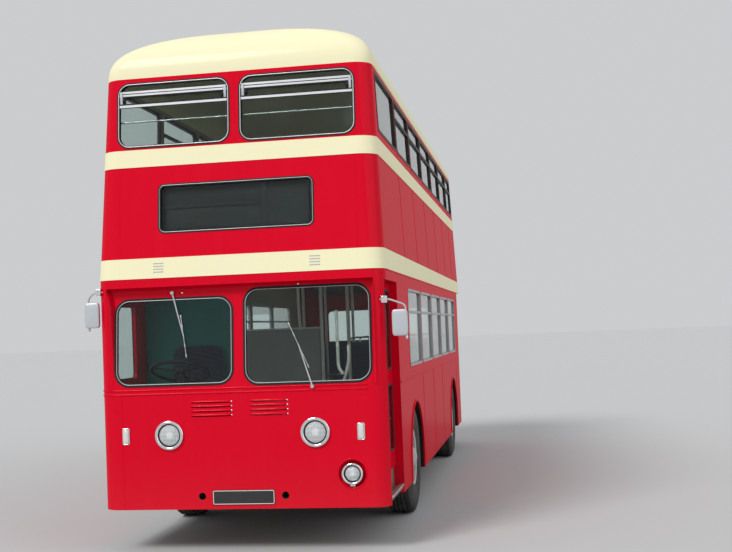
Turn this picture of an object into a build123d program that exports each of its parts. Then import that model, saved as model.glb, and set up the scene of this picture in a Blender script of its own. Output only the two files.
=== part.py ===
from build123d import *
import os
from math import atan, cos, degrees, radians, sin

# Double decker bus. Millimetres: X to the nearside, Y to the rear, Z up, the ground at Z = 0.
# Along the bus, d is the distance behind the flat front panel.

# Overall sizes
LENGTH = 9144
WIDTH = 2438
ROOF_TOP = 4420
WHEELBASE = 4953
FRONT_OVERHANG = 2130
LAMP_REACH = 26
LOWER_REAR = 8575
UPPER_REAR = 8981
HANDLE_REACH = 24

# Heights of the body
SKIRT_Z = 360
SILL_Z = 1310
DECK_Z = 2270
BAND_H = 169
UPPER_BAND_Z = 3213
UPPER_BAND_H = 149
EAVES_Z = 3982

# Walls and the way they lean
BAND_PROUD = 4
SIDE_WALL = 45
FRONT_WALL = 60
FRONT_RADIUS = 160
REAR_RADIUS = 130
FRONT_LEAN = 0.100
SIDE_LEAN = 0.039
REAR_LEAN = 0.030
FRONT_ZONE = 350
REAR_ZONE = 240
CORNER_ZONE = 170

# Roof dome: how far it runs in from the front, the sides and the rear
DOME_FRONT = 650
DOME_SIDE = 1000
DOME_REAR = 560
DOME_STEPS = 7
DOME_POWER = 0.8
DOME_ROUND = 500
ROOF_SKIN = 40

# Glass and the strips that hold it
GLASS_SET = 14
GLASS_THICK = 6
GASKET = 24
GASKET_PROUD = 4
GASKET_DEEP = 34

# Side windows
FIRST_PILLAR = 1730
BAY = 1220
LOWER_BAYS = 5
PILLAR = 56
LOWER_WIN_Z0 = 1415
LOWER_WIN_Z1 = 2150
LOWER_VENT_Z = 1932
UPPER_WIN_Z0 = 3430
UPPER_WIN_Z1 = 3948
UPPER_VENT_Z = 3770
QUARTER_WIN_D = 400
WIN_RADIUS = 70
VENT_BAR = 24

# Front windows, display and windscreens
UPPER_FRONT_Z0 = 3376
UPPER_FRONT_Z1 = 3946
UPPER_FRONT_HALF = 1022
UPPER_FRONT_GAP = 74
UPPER_FRONT_RADIUS = 110
DISPLAY_W = 1326
DISPLAY_Z0 = 2639
DISPLAY_Z1 = 3059
DISPLAY_RADIUS = 60
DISPLAY_DEEP = 160
SCREEN_SETBACK = 90
PEAK_Z = 2196
RECESS_HALF = 1125
SCREEN_SILL_Z = 1345
OFFSIDE_SCREEN = (-1075, -49, 1371, 2108)
NEARSIDE_SCREEN = (31, 1098, 1358, 2164)
SCREEN_RADIUS = 130
VENT_HEADS = ((3850, 44), (3745, 22))

# Small vents in the lower band
GRILLE_X = 660
GRILLE_HALF = 45
GRILLE_SLOTS = 4
GRILLE_Z = 2314
GRILLE_PITCH = 24
GRILLE_SLOT_H = 10

# Front apron fittings
LOUVRE_Z0 = 1116
LOUVRE_Z1 = 1264
LOUVRE_SLOTS = 4
LOUVRE_SLOT_H = 14
LOUVRE_GROUPS = ((-418, -77), (82, 390))
HEADLAMP_X = 612
HEADLAMP_Z = 970
HEADLAMP_D = 245
FOG_X = 902
FOG_Z = 631
FOG_D = 176
FOG_RECESS_D = 236
SIDE_LAMP_X = 985
SIDE_LAMP_Z = 968
SIDE_LAMP_W = 52
SIDE_LAMP_H = 130
PLATE_W = 516
PLATE_H = 117
PLATE_Z = 455
PLATE_THICK = 8
TOW_X = 348
TOW_Z = 466
TOW_HOLE_D = 62
TOW_BORE_D = 50
TOW_BOSS_D = 90
TOW_LENGTH = 120
TOW_PLATE_HALF = 70
TOW_STRIP_Z = 510
TOW_SECTORS = 6

# Entrance doorway and its two folding leaves
DOOR_D0 = 95
DOOR_D1 = 865
DOOR_TOP_Z = 2180
DOOR_FOOT_Z = 600
DOOR_SET = 66
LEAF_THICK = 30
LEAF_GAP = 12
LEAF_EDGE = 18
LEAF_SPLIT = 6
LEAF_SWEEP = 14
LEAF_PIVOT_R = 8
LEAF_PIVOT_UP = 30
LEAF_STILE = 46
LEAF_RAIL_Z0 = 1300
LEAF_RAIL_Z1 = 1440
LEAF_TOE = 150
JAMB = 35

# Cab door on the offside
CAB_DOOR_D0 = 330
CAB_DOOR_D1 = 960
CAB_DOOR_Z0 = 800
CAB_DOOR_Z1 = 2130
DOOR_GAP = 7

# Barrel hinges of the doors and the lid
HINGE_OUT = 11
HINGE_R = 9
HINGE_PIN_R = 5
HINGE_L = 120
HINGE_STRAP = 42
FOLD_R = 6
FOLD_PIN_R = 3
FOLD_Z = (700, 1360, 2040)

# Rear end
HOUSING_HALF = 1150
HOUSING_Z0 = 320
HOUSING_Z1 = 1390
HOUSING_RADIUS = 190
HOUSING_SKIN = 30
COVER_HALF = 800
COVER_Z0 = 400
COVER_Z1 = 1290
COVER_GAP = 8
COVER_SLOT_HALF = 560
COVER_SLOT_H = 28
COVER_SLOT_Z = (640, 720, 800, 880, 960, 1040)
HOUSING_SLOT_X = 900
HOUSING_SLOT_H = 20
HOUSING_SLOT_Z = (950, 1005, 1060, 1115, 1170)
ENGINE_HALF = 620
ENGINE_Z0 = 470
ENGINE_Z1 = 1180
REAR_LAMP_X = 970
REAR_LAMP_R = 48
REAR_LAMP_Z = (560, 700, 840)
REAR_WIN_HALF = 760
REAR_WIN_Z0 = 1560
REAR_WIN_Z1 = 2080
EXIT_HALF = 560
EXIT_Z0 = 2620
EXIT_Z1 = 3890
EXIT_HINGE_Z = (2770, 3090, 3510)

# Wheels, axles and frame
TYRE_D = 1054
TYRE_W = 278
RIM_D = 530
RIM_BORE_D = 470
RIM_DISH = 34
TYRE_SIDES = 72
TREAD_W = 200
SHOULDER_DROP = 62
TWIN_PITCH = 318
WHEEL_INSET = 25
KINGPIN_X = 870
KINGPIN_R = 25
KNUCKLE_GAP = 6
KNUCKLE_BOSS_R = 48
KNUCKLE_PLATE = 24
STUB_D = 90
RUNNING = 0.3
HUB_D = 250
ARCH_R = 592
ARCH_Z = 474
ARCH_LIP = 22
WHEEL_BOX_HALF = 648
WHEEL_BOX_Z = 1130
WHEEL_BOX_IN = 545
BOX_SKIN = 22
BOX_CLEAR = 6
RAIL_X = 415
RAIL_W = 70
RAIL_Z0 = 500
RAIL_Z1 = 680
FRONT_RAIL_Z0 = 430
OUTRIGGER_SHORT = 90
FLOOR_THICK = 40
PLATFORM_Z = 590
PLATFORM_D1 = 1300
UPPER_FLOOR_Z = 2530
UPPER_FLOOR_THICK = 60

# Stairs on the offside
BULKHEAD_D = 1130
BULKHEAD_THICK = 30
STAIR_W = 560
STAIR_TREAD = 250
STAIR_FLIGHT_D = 1478
STAIR_STEPS = 9
STEP_THICK = 30
TURN_TREAD = 220

# Cab and steering
CAB_FLOOR_Z = 820
CAB_FLOOR_D0 = 340
CAB_EDGE_X = -40
DASH_TOP = 1325
PARTITION_X0 = -299
PARTITION_X1 = 470
PARTITION_Z = 1810
STEER_X = -650
STEER_D = 500
STEER_Z = 1475
STEER_LEAN = 22
STEER_R = 250
COLUMN_R = 30
COLUMN_L = 640

# Mirrors: how far out each head reaches, its top, its size and its arm
NEARSIDE_MIRROR = (1389, 1932)
OFFSIDE_MIRROR = (1330, 2090)
MIRROR_W = 108
MIRROR_H = 228
MIRROR_THICK = 40
MIRROR_ARM_R = 9
MIRROR_ARM_D = 55

# Wipers: place of the spindle, length and slant of the arm, length and turn of the blade
OFFSIDE_WIPER = (-568, 2142, 377, -14.7, 361, 6.7)
NEARSIDE_WIPER = (605, 1337, 353, 162.3, 412, -6.3)
WIPER_OFF = 17
SPINDLE_R = 8
SPINDLE_IN = 42

# Seats
SEAT_W = 850
SEAT_PITCH = 735
SEAT_DEEP = 420
SEAT_Z = 360
CUSHION = 100
BACK_THICK = 90
BACK_LEAN = 50
BACK_Z = 930
LOWER_ROWS = 4
LOWER_ROW_D = 3050
UPPER_ROWS = 10
UPPER_ROW_D = 720
STAIR_ROWS = 3

# Upright poles
POLE_R = 16
POLE_X = 740
POLE_D = 1100
GANGWAY_POLE_X = 290

# Values worked out from the sizes above
FRONT = -LENGTH / 2 + LAMP_REACH
HALF = WIDTH / 2 - BAND_PROUD
INNER = HALF - SIDE_WALL
HOUSING_REAR = LENGTH - LAMP_REACH - HANDLE_REACH
FRONT_AXLE = FRONT_OVERHANG
REAR_AXLE = FRONT_OVERHANG + WHEELBASE
AXLE_Z = TYRE_D / 2
WHEEL_X = HALF - WHEEL_INSET - TYRE_W / 2
FLOOR_Z = RAIL_Z1 + FLOOR_THICK
STAIR_RISE = (UPPER_FLOOR_Z - PLATFORM_Z) / STAIR_STEPS
LEAF_X1 = HALF - DOOR_SET
LEAF_X0 = LEAF_X1 - LEAF_THICK
FOLD_D = (DOOR_D0 + DOOR_D1) / 2
LEAF_PIVOT_D = DOOR_D1 - LEAF_GAP - LEAF_EDGE
WIN_ENDS = FIRST_PILLAR + BAY * LOWER_BAYS
FAR = 2 * LENGTH

PARTS = {}


def at(d):
    """Y of a place that lies d behind the front panel."""
    return FRONT + d


def block(x0, x1, d0, d1, z0, z1):
    """Plain box between two corners."""
    centre = Pos((x0 + x1) / 2, at((d0 + d1) / 2), (z0 + z1) / 2)
    return centre * Box(x1 - x0, d1 - d0, z1 - z0)


def seen_from_side(sketch, x0, x1):
    """Sketch drawn in (Y, Z), run across from x0 to x1."""
    return extrude(Plane.YZ.offset(x0) * sketch, x1 - x0, dir=(1, 0, 0))


def seen_from_front(sketch, d0, d1):
    """Sketch drawn in (X, Z), run back from d0 to d1."""
    return extrude(Plane.XZ.offset(-at(d1)) * sketch, d1 - d0, dir=(0, -1, 0))


def side_panel(d0, d1, z0, z1, r, x0, x1):
    """Rounded rectangle seen from the side, run across from x0 to x1."""
    shape = Pos(at((d0 + d1) / 2), (z0 + z1) / 2) * RectangleRounded(d1 - d0, z1 - z0, r)
    return seen_from_side(shape, x0, x1)


def front_panel(x0, x1, z0, z1, r, d0, d1):
    """Rounded rectangle seen from the front, run back from d0 to d1."""
    shape = Pos((x0 + x1) / 2, (z0 + z1) / 2) * RectangleRounded(x1 - x0, z1 - z0, r)
    return seen_from_front(shape, d0, d1)


def side_profile(points, x0, x1):
    """Closed outline of (d, z) points, run across from x0 to x1."""
    shape = Polygon(*[(at(d), z) for d, z in points], align=None)
    return seen_from_side(shape, x0, x1)


def bar_x(d, z, r, x0, x1):
    """Round bar that lies across the bus."""
    return Pos((x0 + x1) / 2, at(d), z) * Rot(0, 90, 0) * Cylinder(r, x1 - x0)


def bar_y(x, z, r, d0, d1):
    """Round bar that lies along the bus."""
    return Pos(x, at((d0 + d1) / 2), z) * Rot(90, 0, 0) * Cylinder(r, d1 - d0)


def bar_z(x, d, r, z0, z1):
    """Round bar that stands upright."""
    return Pos(x, at(d), (z0 + z1) / 2) * Cylinder(r, z1 - z0)


def plan(z, half, d0, d1, r_front, r_rear):
    """Plan of the body at height z: a rectangle with round corners."""
    centre = Pos(0, at((d0 + d1) / 2))
    face = centre * Rectangle(2 * half, d1 - d0)
    corners = face.vertices().sort_by(Axis.Y)
    face = fillet(corners[:2], r_front)
    corners = face.vertices().filter_by(lambda v: abs(v.Y - at(d1)) < 0.01)
    face = fillet(corners, r_rear)
    return Pos(0, 0, z) * face


def upper_plan(z, inset):
    """Plan of the upper deck at height z, which leans in on all sides."""
    up = z - DECK_Z
    half = HALF - SIDE_LEAN * up - inset
    d0 = FRONT_LEAN * up + inset
    d1 = UPPER_REAR - REAR_LEAN * up - inset
    return plan(z, half, d0, d1, FRONT_RADIUS - inset, REAR_RADIUS - inset)


def upper_solid(z0, z1, inset):
    """Everything inside the upper deck's outline, less inset."""
    return loft([upper_plan(z0, inset).face(), upper_plan(z1, inset).face()], ruled=True)


def upper_skin(z0, z1, outer, inner):
    """Wall of the upper deck between two depths below its outline."""
    return upper_solid(z0, z1, outer) - upper_solid(z0, z1, inner)


def lower_solid(z0, z1, inset):
    """Everything inside the lower deck's outline, less inset."""
    face = plan(z0, HALF - inset, inset, LOWER_REAR - inset, FRONT_RADIUS - inset, REAR_RADIUS - inset)
    return extrude(face, z1 - z0)


def lower_skin(z0, z1, outer, inner):
    """Wall of the lower deck between two depths below its outline."""
    return lower_solid(z0, z1, outer) - lower_solid(z0, z1, inner)


def add(name, *shapes):
    """Keeps one named piece, made of every solid in the shapes."""
    solids = []
    for shape in shapes:
        solids += list(shape.solids())
    PARTS[name] = solids[0] if len(solids) == 1 else Compound(solids)


def mirrored(shape):
    """The same shape on the other side of the bus."""
    return mirror(shape, Plane.YZ)


def hinges(places):
    """Barrel hinges about each place's Z: fixed ends on one pin, and the moving middle knuckle.

    At each place X points to the door and Y out of the wall, whose face is HINGE_OUT below the pin.
    """
    third = HINGE_L / 3
    fixed, moving = None, None
    for place in places:
        ends = Cylinder(HINGE_PIN_R, HINGE_L)
        for end in (-1, 1):
            ends += Pos(0, 0, end * third) * Cylinder(HINGE_R, third - 1)
            ends += Pos(-HINGE_STRAP / 2, 2 - HINGE_OUT, end * third) * Box(HINGE_STRAP, 4, third - 1)
        middle = Cylinder(HINGE_R, third - 1)
        middle += Pos(HINGE_STRAP / 2, 2 - HINGE_OUT, 0) * Box(HINGE_STRAP, 4, third - 1)
        middle -= Cylinder(HINGE_PIN_R + RUNNING, HINGE_L)
        fixed = place * ends if fixed is None else fixed + place * ends
        moving = place * middle if moving is None else moving + place * middle
    return fixed, moving


def cab_hinge_places():
    """Two hinges down the front edge of the cab door."""
    return [Pos(-HALF - HINGE_OUT, at(CAB_DOOR_D0 + DOOR_GAP), z) * Rot(0, 0, 90)
            for z in (CAB_DOOR_Z0 + 160, CAB_DOOR_Z1 - 160)]


def exit_hinge_places():
    """Three hinges up the leaning edge of the emergency door."""
    return [Pos(-EXIT_HALF + DOOR_GAP, at(UPPER_REAR - REAR_LEAN * (z - DECK_Z)) + HINGE_OUT, z)
            * Rot(degrees(atan(REAR_LEAN)), 0, 0) for z in EXIT_HINGE_Z]


def lid_hinge_places():
    """Two hinges along the top edge of the engine cover."""
    return [Pos(x, at(HOUSING_REAR) + HINGE_OUT, COVER_Z1 - COVER_GAP) * Rot(0, 90, 0) for x in (-500, 500)]


UPPER_WINDOWS = [(QUARTER_WIN_D, FIRST_PILLAR - PILLAR, False)]
for bay in range(LOWER_BAYS):
    start = FIRST_PILLAR + bay * BAY
    UPPER_WINDOWS.append((start, start + BAY - PILLAR, True))
UPPER_WINDOWS.append((WIN_ENDS, UPPER_REAR - REAR_ZONE, True))
LOWER_WINDOWS = [window for window in UPPER_WINDOWS[1:-1]]


def window_shapes(windows, z0, z1, skin, glass, vent_z, side):
    """Holes, frames and panes of one row of side windows; side is +1 nearside, -1 offside."""
    x0, x1 = (INNER - 150, HALF + 60) if side > 0 else (-HALF - 60, -INNER + 150)
    holes, frames, panes = [], [], []
    for d0, d1, vented in windows:
        hole = side_panel(d0, d1, z0, z1, WIN_RADIUS, x0, x1)
        light = side_panel(d0 + GASKET, d1 - GASKET, z0 + GASKET, z1 - GASKET, WIN_RADIUS - GASKET, x0, x1)
        frame = (hole - light) & skin
        pane = light & glass
        if vented:
            bar = block(x0, x1, d0 + GASKET / 2, d1 - GASKET / 2, vent_z - VENT_BAR / 2, vent_z + VENT_BAR / 2)
            frame = frame + (bar & skin & hole)
            pane = pane - bar
        holes.append(hole)
        frames.append(frame)
        panes.append(pane)
    return holes, frames, panes


def sides_and_windows():
    """Walls of both decks at the sides, with their windows, door and arches."""
    upper = upper_skin(DECK_Z, EAVES_Z, 0, SIDE_WALL)
    upper_frame = upper_skin(DECK_Z, EAVES_Z, -GASKET_PROUD, GASKET_DEEP)
    upper_glass = upper_skin(DECK_Z, EAVES_Z, GLASS_SET, GLASS_SET + GLASS_THICK)
    lower = lower_skin(SKIRT_Z, DECK_Z, 0, SIDE_WALL)
    lower_frame = lower_skin(SKIRT_Z, DECK_Z, -GASKET_PROUD, GASKET_DEEP)
    lower_glass = lower_skin(SKIRT_Z, DECK_Z, GLASS_SET, GLASS_SET + GLASS_THICK)
    upper_walls, lower_walls, frames, panes_of_both = [], [], [], []
    arches = arch_cuts(ARCH_R)
    lips = lower_skin(SKIRT_Z, SILL_Z, -BAND_PROUD, 1) & (arch_cuts(ARCH_R + ARCH_LIP) - arches)
    for side in (1, -1):
        x0, x1 = (0, FAR) if side > 0 else (-FAR, 0)
        wall = upper & block(x0, x1, FRONT_ZONE, UPPER_REAR - REAR_ZONE, DECK_Z, EAVES_Z)
        holes, rims, panes = window_shapes(
            UPPER_WINDOWS, UPPER_WIN_Z0, UPPER_WIN_Z1, upper_frame, upper_glass, UPPER_VENT_Z, side)
        for hole in holes:
            wall -= hole
        upper_walls.append(wall)
        frames += rims
        panes_of_both += panes
        front_end = DOOR_D0 if side > 0 else CORNER_ZONE
        wall = lower & block(x0, x1, front_end, LOWER_REAR - CORNER_ZONE, SKIRT_Z, DECK_Z)
        holes, rims, panes = window_shapes(
            LOWER_WINDOWS, LOWER_WIN_Z0, LOWER_WIN_Z1, lower_frame, lower_glass, LOWER_VENT_Z, side)
        for hole in holes:
            wall -= hole
        wall = (wall - arches) + (lips & block(x0, x1, 0, LOWER_REAR, 0, SILL_Z))
        if side > 0:
            wall -= block(0, FAR, 0, DOOR_D1, 0, DOOR_TOP_Z)
            wall += block(LEAF_X0, INNER, DOOR_D1, DOOR_D1 + JAMB, SKIRT_Z, DECK_Z)
            wall += block(LEAF_X0, INNER, DOOR_D0, DOOR_D1 + JAMB, DOOR_TOP_Z, DECK_Z)
            wall -= leaf_pivot(LEAF_PIVOT_R + RUNNING, LEAF_PIVOT_UP + 5)
        else:
            wall -= block(-FAR, 0, CAB_DOOR_D0, CAB_DOOR_D1, CAB_DOOR_Z0, CAB_DOOR_Z1)
            wall += hinges(cab_hinge_places())[0]
        lower_walls.append(wall)
        frames += rims
        panes_of_both += panes
    add("upper_sides", *upper_walls)
    add("lower_sides", *lower_walls)
    add("side_windows", *panes_of_both)
    return frames


def leaf_pivot(r, up):
    """Upright pin that carries the rear leaf, from the leaf's top up into the door header."""
    return bar_z((LEAF_X0 + LEAF_X1) / 2, LEAF_PIVOT_D, r, DOOR_TOP_Z - LEAF_GAP - 10, DOOR_TOP_Z + up)


def arch_cuts(r):
    """Openings over the wheels: a half round on straight legs, right across the bus."""
    cut = None
    for axle in (FRONT_AXLE, REAR_AXLE):
        shape = bar_x(axle, ARCH_Z, r, -FAR, FAR) + block(-FAR, FAR, axle - r, axle + r, 0, ARCH_Z)
        cut = shape if cut is None else cut + shape
    return cut


def cream_bands():
    """Two pale bands that run right round the body."""
    low = upper_skin(DECK_Z, DECK_Z + BAND_H, -BAND_PROUD, 0)
    high = upper_skin(UPPER_BAND_Z, UPPER_BAND_Z + UPPER_BAND_H, -BAND_PROUD, 0)
    low -= bolt_grilles()
    exit_hole = block(-EXIT_HALF, EXIT_HALF, UPPER_REAR - REAR_ZONE, FAR, EXIT_Z0, EXIT_Z1)
    add("cream_bands", low, high - exit_hole)


def bolt_grilles():
    """Two small vents of four slots in the lower band at the front."""
    cut = None
    for x in (-GRILLE_X, GRILLE_X):
        for row in range(GRILLE_SLOTS):
            z = GRILLE_Z + row * GRILLE_PITCH
            slot = block(x - GRILLE_HALF, x + GRILLE_HALF, -20, 20, z, z + GRILLE_SLOT_H)
            cut = slot if cut is None else cut + slot
    return cut


def front_gasket(hole, light, skin):
    """Rubber strip round one window: the wall's hole less its light."""
    return (hole - light) & skin


def upper_front():
    """Front wall of the upper deck: two windows over the display."""
    wall = upper_skin(DECK_Z, EAVES_Z, 0, FRONT_WALL)
    wall &= block(-FAR, FAR, -10, FRONT_ZONE, DECK_Z, EAVES_Z)
    gasket_skin = upper_skin(DECK_Z, EAVES_Z, -GASKET_PROUD, GASKET_DEEP)
    glass_skin = upper_skin(DECK_Z, EAVES_Z, GLASS_SET, GLASS_SET + GLASS_THICK)
    spans = ((-UPPER_FRONT_HALF, -UPPER_FRONT_GAP / 2), (UPPER_FRONT_GAP / 2, UPPER_FRONT_HALF))
    gaskets, vents, panes = [], [], []
    for x0, x1 in spans:
        hole = front_panel(x0, x1, UPPER_FRONT_Z0, UPPER_FRONT_Z1, UPPER_FRONT_RADIUS, -50, FRONT_ZONE)
        light = front_panel(x0 + GASKET, x1 - GASKET, UPPER_FRONT_Z0 + GASKET, UPPER_FRONT_Z1 - GASKET,
                            UPPER_FRONT_RADIUS - GASKET, -50, FRONT_ZONE)
        wall -= hole
        pane = light & glass_skin
        for z, height in VENT_HEADS:
            bar = block(x0, x1, -50, FRONT_ZONE, z - height / 2, z + height / 2)
            vents.append(bar & light & gasket_skin)
            pane -= bar
        gaskets.append(front_gasket(hole, light, gasket_skin))
        panes.append(pane)
    x1 = DISPLAY_W / 2
    hole = front_panel(-x1, x1, DISPLAY_Z0, DISPLAY_Z1, DISPLAY_RADIUS, -50, FRONT_ZONE)
    light = front_panel(-x1 + GASKET, x1 - GASKET, DISPLAY_Z0 + GASKET, DISPLAY_Z1 - GASKET,
                        DISPLAY_RADIUS - GASKET, -50, FRONT_ZONE)
    wall -= hole
    gaskets.append(front_gasket(hole, light, gasket_skin))
    panes.append(light & glass_skin)
    box_d0 = FRONT_LEAN * (DISPLAY_Z1 - DECK_Z) + FRONT_WALL
    blinds = block(-x1 - 30, x1 + 30, box_d0, box_d0 + DISPLAY_DEEP, DISPLAY_Z0 - 30, DISPLAY_Z1 + 30)
    blinds -= upper_skin(DECK_Z, EAVES_Z, -50, FRONT_WALL)
    add("upper_front_panel", wall)
    return gaskets, vents, panes, blinds


def screen_slope(z):
    """How far the windscreens stand behind the front panel at height z."""
    return SCREEN_SETBACK * (z - SCREEN_SILL_Z) / (PEAK_Z - SCREEN_SILL_Z)


def sloped_slab(z0, z1, outer, inner, x0, x1):
    """Slab between two depths behind the windscreens' sloping plane."""
    points = [(screen_slope(z0) + outer, z0), (screen_slope(z1) + outer, z1),
              (screen_slope(z1) + inner, z1), (screen_slope(z0) + inner, z0)]
    return side_profile(points, x0, x1)


def windscreens():
    """Front wall round the windscreens, which lean back under a peak."""
    depth = CORNER_ZONE
    wall = lower_solid(SILL_Z, DECK_Z, 0) & block(-FAR, FAR, -10, depth, SILL_Z, DECK_Z)
    recess = [(-10, SCREEN_SILL_Z), (0, SCREEN_SILL_Z), (SCREEN_SETBACK, PEAK_Z), (-10, PEAK_Z)]
    wall -= side_profile(recess, -RECESS_HALF, RECESS_HALF)
    inside = [(FRONT_WALL, SILL_Z), (FRONT_WALL, SCREEN_SILL_Z), (SCREEN_SETBACK + FRONT_WALL, PEAK_Z),
              (depth + 1, PEAK_Z), (depth + 1, SILL_Z)]
    wall -= side_profile(inside, -INNER, INNER)
    wall -= block(LEAF_X0 - LEAF_SWEEP, FAR, DOOR_D0, FAR, SILL_Z, DECK_Z)
    wall += block(LEAF_X0, INNER, DOOR_D0 - JAMB, DOOR_D0, SILL_Z, DECK_Z)
    gaskets, panes = [], []
    for x0, x1, z0, z1 in (OFFSIDE_SCREEN, NEARSIDE_SCREEN):
        hole = front_panel(x0, x1, z0, z1, SCREEN_RADIUS, -50, FRONT_ZONE)
        light = front_panel(x0 + GASKET, x1 - GASKET, z0 + GASKET, z1 - GASKET, SCREEN_RADIUS - GASKET,
                            -50, FRONT_ZONE)
        wall -= hole
        strip = sloped_slab(z0, z1, -GASKET_PROUD, GASKET_DEEP, x0, x1)
        gaskets.append(front_gasket(hole, light, strip))
        glass = sloped_slab(z0, z1, GLASS_SET, GLASS_SET + GLASS_THICK, x0, x1)
        panes.append(light & glass)
    for x, z, *_ in (OFFSIDE_WIPER, NEARSIDE_WIPER):
        wall -= spindle(x, z, SPINDLE_R + RUNNING, SPINDLE_IN + 5)
    add("windscreen_surround", wall)
    return gaskets, panes


def front_apron():
    """Lower front panel with louvres, lamp holes and towing holes."""
    wall = lower_skin(SKIRT_Z, SILL_Z, 0, FRONT_WALL)
    corner = lower_skin(SKIRT_Z, SILL_Z, 0, SIDE_WALL)
    ends = block(-FAR, FAR, FRONT_WALL, CORNER_ZONE, 0, SILL_Z)
    wall = (wall & block(-FAR, FAR, -10, FRONT_WALL, 0, SILL_Z)) + (corner & ends)
    wall -= block(0, FAR, DOOR_D0, FAR, 0, SILL_Z)
    wall += block(LEAF_X0, INNER, FRONT_WALL, DOOR_D0, SKIRT_Z, SILL_Z)
    step = (LOUVRE_Z1 - LOUVRE_Z0) / LOUVRE_SLOTS
    for x0, x1 in LOUVRE_GROUPS:
        for slot in range(LOUVRE_SLOTS):
            z = LOUVRE_Z0 + slot * step
            wall -= block(x0, x1, -10, FRONT_WALL + 10, z, z + LOUVRE_SLOT_H)
    for x, z, size in lamp_places():
        wall -= bar_y(x, z, size / 2, -10, FRONT_WALL + 10)
    for side in (-1, 1):
        wall -= bar_y(side * TOW_X, TOW_Z, TOW_HOLE_D / 2, -10, FRONT_WALL + 10)
    foot = (-10, CORNER_ZONE, 0, TOW_STRIP_Z)
    pieces = [wall - block(-FAR, FAR, *foot)]
    for x0, x1 in ((-FAR, -TOW_X - TOW_PLATE_HALF), (TOW_PLATE_HALF - TOW_X, TOW_X - TOW_PLATE_HALF),
                   (TOW_X + TOW_PLATE_HALF, FAR)):
        pieces.append(wall & block(x0, x1, *foot))
    for side in (-1, 1):
        plate = wall & block(side * TOW_X - TOW_PLATE_HALF, side * TOW_X + TOW_PLATE_HALF, *foot)
        pieces += [plate & sector for sector in tow_sectors(side * TOW_X)]
    add("front_apron", *pieces)


def tow_sectors(x):
    """Wedges round one towing hole, which cut the foot of the panel there."""
    reach = 4 * TOW_PLATE_HALF
    turn = radians(360 / TOW_SECTORS)
    for number in range(TOW_SECTORS):
        corners = [(x + reach * cos(turn * k), TOW_Z + reach * sin(turn * k)) for k in (number, number + 1)]
        yield seen_from_front(Polygon((x, TOW_Z), *corners, align=None), -10, CORNER_ZONE)


def lamp_places():
    """Centre and hole size of the round lamps at the front."""
    return ((-HEADLAMP_X, HEADLAMP_Z, HEADLAMP_D - 30), (HEADLAMP_X, HEADLAMP_Z, HEADLAMP_D - 30),
            (FOG_X, FOG_Z, FOG_RECESS_D))


def turned(points, x, z, d):
    """Solid turned about a line along the bus; points are (radius, distance behind d)."""
    shape = make_face(Polyline(*[(r, -back) for r, back in points], close=True))
    ring = revolve(Plane.XZ * shape, Axis.Z)
    return Pos(x, at(d), z) * Rot(90, 0, 0) * ring


def front_lamps():
    """Headlamps and the fog lamp: bright rims and bowls, with domed lenses."""
    bowls, lenses = [], []
    r = HEADLAMP_D / 2
    for x in (-HEADLAMP_X, HEADLAMP_X):
        rim = [(0, 58), (r - 15, 58), (r - 15, 0), (r, 0), (r, -14), (r - 10, -LAMP_REACH),
               (r - 22, -LAMP_REACH), (r - 26, -14), (r - 26, 30), (0, 50)]
        bowls.append(turned(rim, x, HEADLAMP_Z, 0))
        lens = [(0, -22), (r - 60, -17), (r - 26, -8), (r - 26, 0), (r - 60, -9), (0, -14)]
        lenses.append(turned(lens, x, HEADLAMP_Z, 0))
    r = FOG_D / 2
    outer = FOG_RECESS_D / 2
    fog = [(0, 58), (outer, 58), (outer, 0), (outer - 8, 0), (outer - 8, 44), (r, 44), (r, -8),
           (r - 8, -18), (r - 14, -18), (r - 18, -8), (r - 18, 30), (0, 40)]
    bowls.append(turned(fog, FOG_X, FOG_Z, 0))
    lens = [(0, -16), (r - 40, -12), (r - 18, -6), (r - 18, 0), (r - 40, -6), (0, -10)]
    lenses.append(turned(lens, FOG_X, FOG_Z, 0))
    for side in (-1, 1):
        x = side * SIDE_LAMP_X
        z0, z1 = SIDE_LAMP_Z - SIDE_LAMP_H / 2, SIDE_LAMP_Z + SIDE_LAMP_H / 2
        x0, x1 = x - SIDE_LAMP_W / 2, x + SIDE_LAMP_W / 2
        light = front_panel(x0 + 9, x1 - 9, z0 + 9, z1 - 9, 8, -18, 0)
        bowls.append(front_panel(x0, x1, z0, z1, 12, -14, 0) - light)
        lenses.append(light)
    add("front_lamps", *bowls)
    add("lamp_lenses", *lenses)


def rear_lamps():
    """Three round lamps each side of the engine housing."""
    lamps = [bar_y(side * REAR_LAMP_X, z, REAR_LAMP_R, HOUSING_REAR, HOUSING_REAR + 16)
             for side in (-1, 1) for z in REAR_LAMP_Z]
    add("rear_lamps", *lamps)


def front_plate():
    """Blank number plate at the foot of the front panel."""
    return front_panel(-PLATE_W / 2, PLATE_W / 2, PLATE_Z - PLATE_H / 2, PLATE_Z + PLATE_H / 2, 12,
                       -PLATE_THICK, 0)


def roof_dome():
    """Cream roof: a full curve up from the eaves on every side, hollow inside."""
    height = ROOF_TOP - EAVES_Z

    def section(step, inset, drop):
        angle = radians(90 * step / DOME_STEPS)
        run = 1 - cos(angle) ** DOME_POWER
        up = EAVES_Z - DECK_Z
        half = HALF - SIDE_LEAN * up - inset - DOME_SIDE * run
        d0 = FRONT_LEAN * up + inset + DOME_FRONT * run
        d1 = UPPER_REAR - REAR_LEAN * up - inset - DOME_REAR * run
        z = EAVES_Z + (height - drop) * sin(angle) ** DOME_POWER
        grown = DOME_ROUND * run - inset
        limit = 0.9 * half
        return plan(z, half, d0, d1, min(FRONT_RADIUS + grown, limit), min(REAR_RADIUS + grown, limit)).face()

    steps = range(DOME_STEPS + 1)
    outer = loft([section(step, 0, 0) for step in steps], ruled=True)
    inner = loft([section(step, SIDE_WALL, ROOF_SKIN) for step in steps], ruled=True)
    add("roof_dome", outer - inner)


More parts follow.
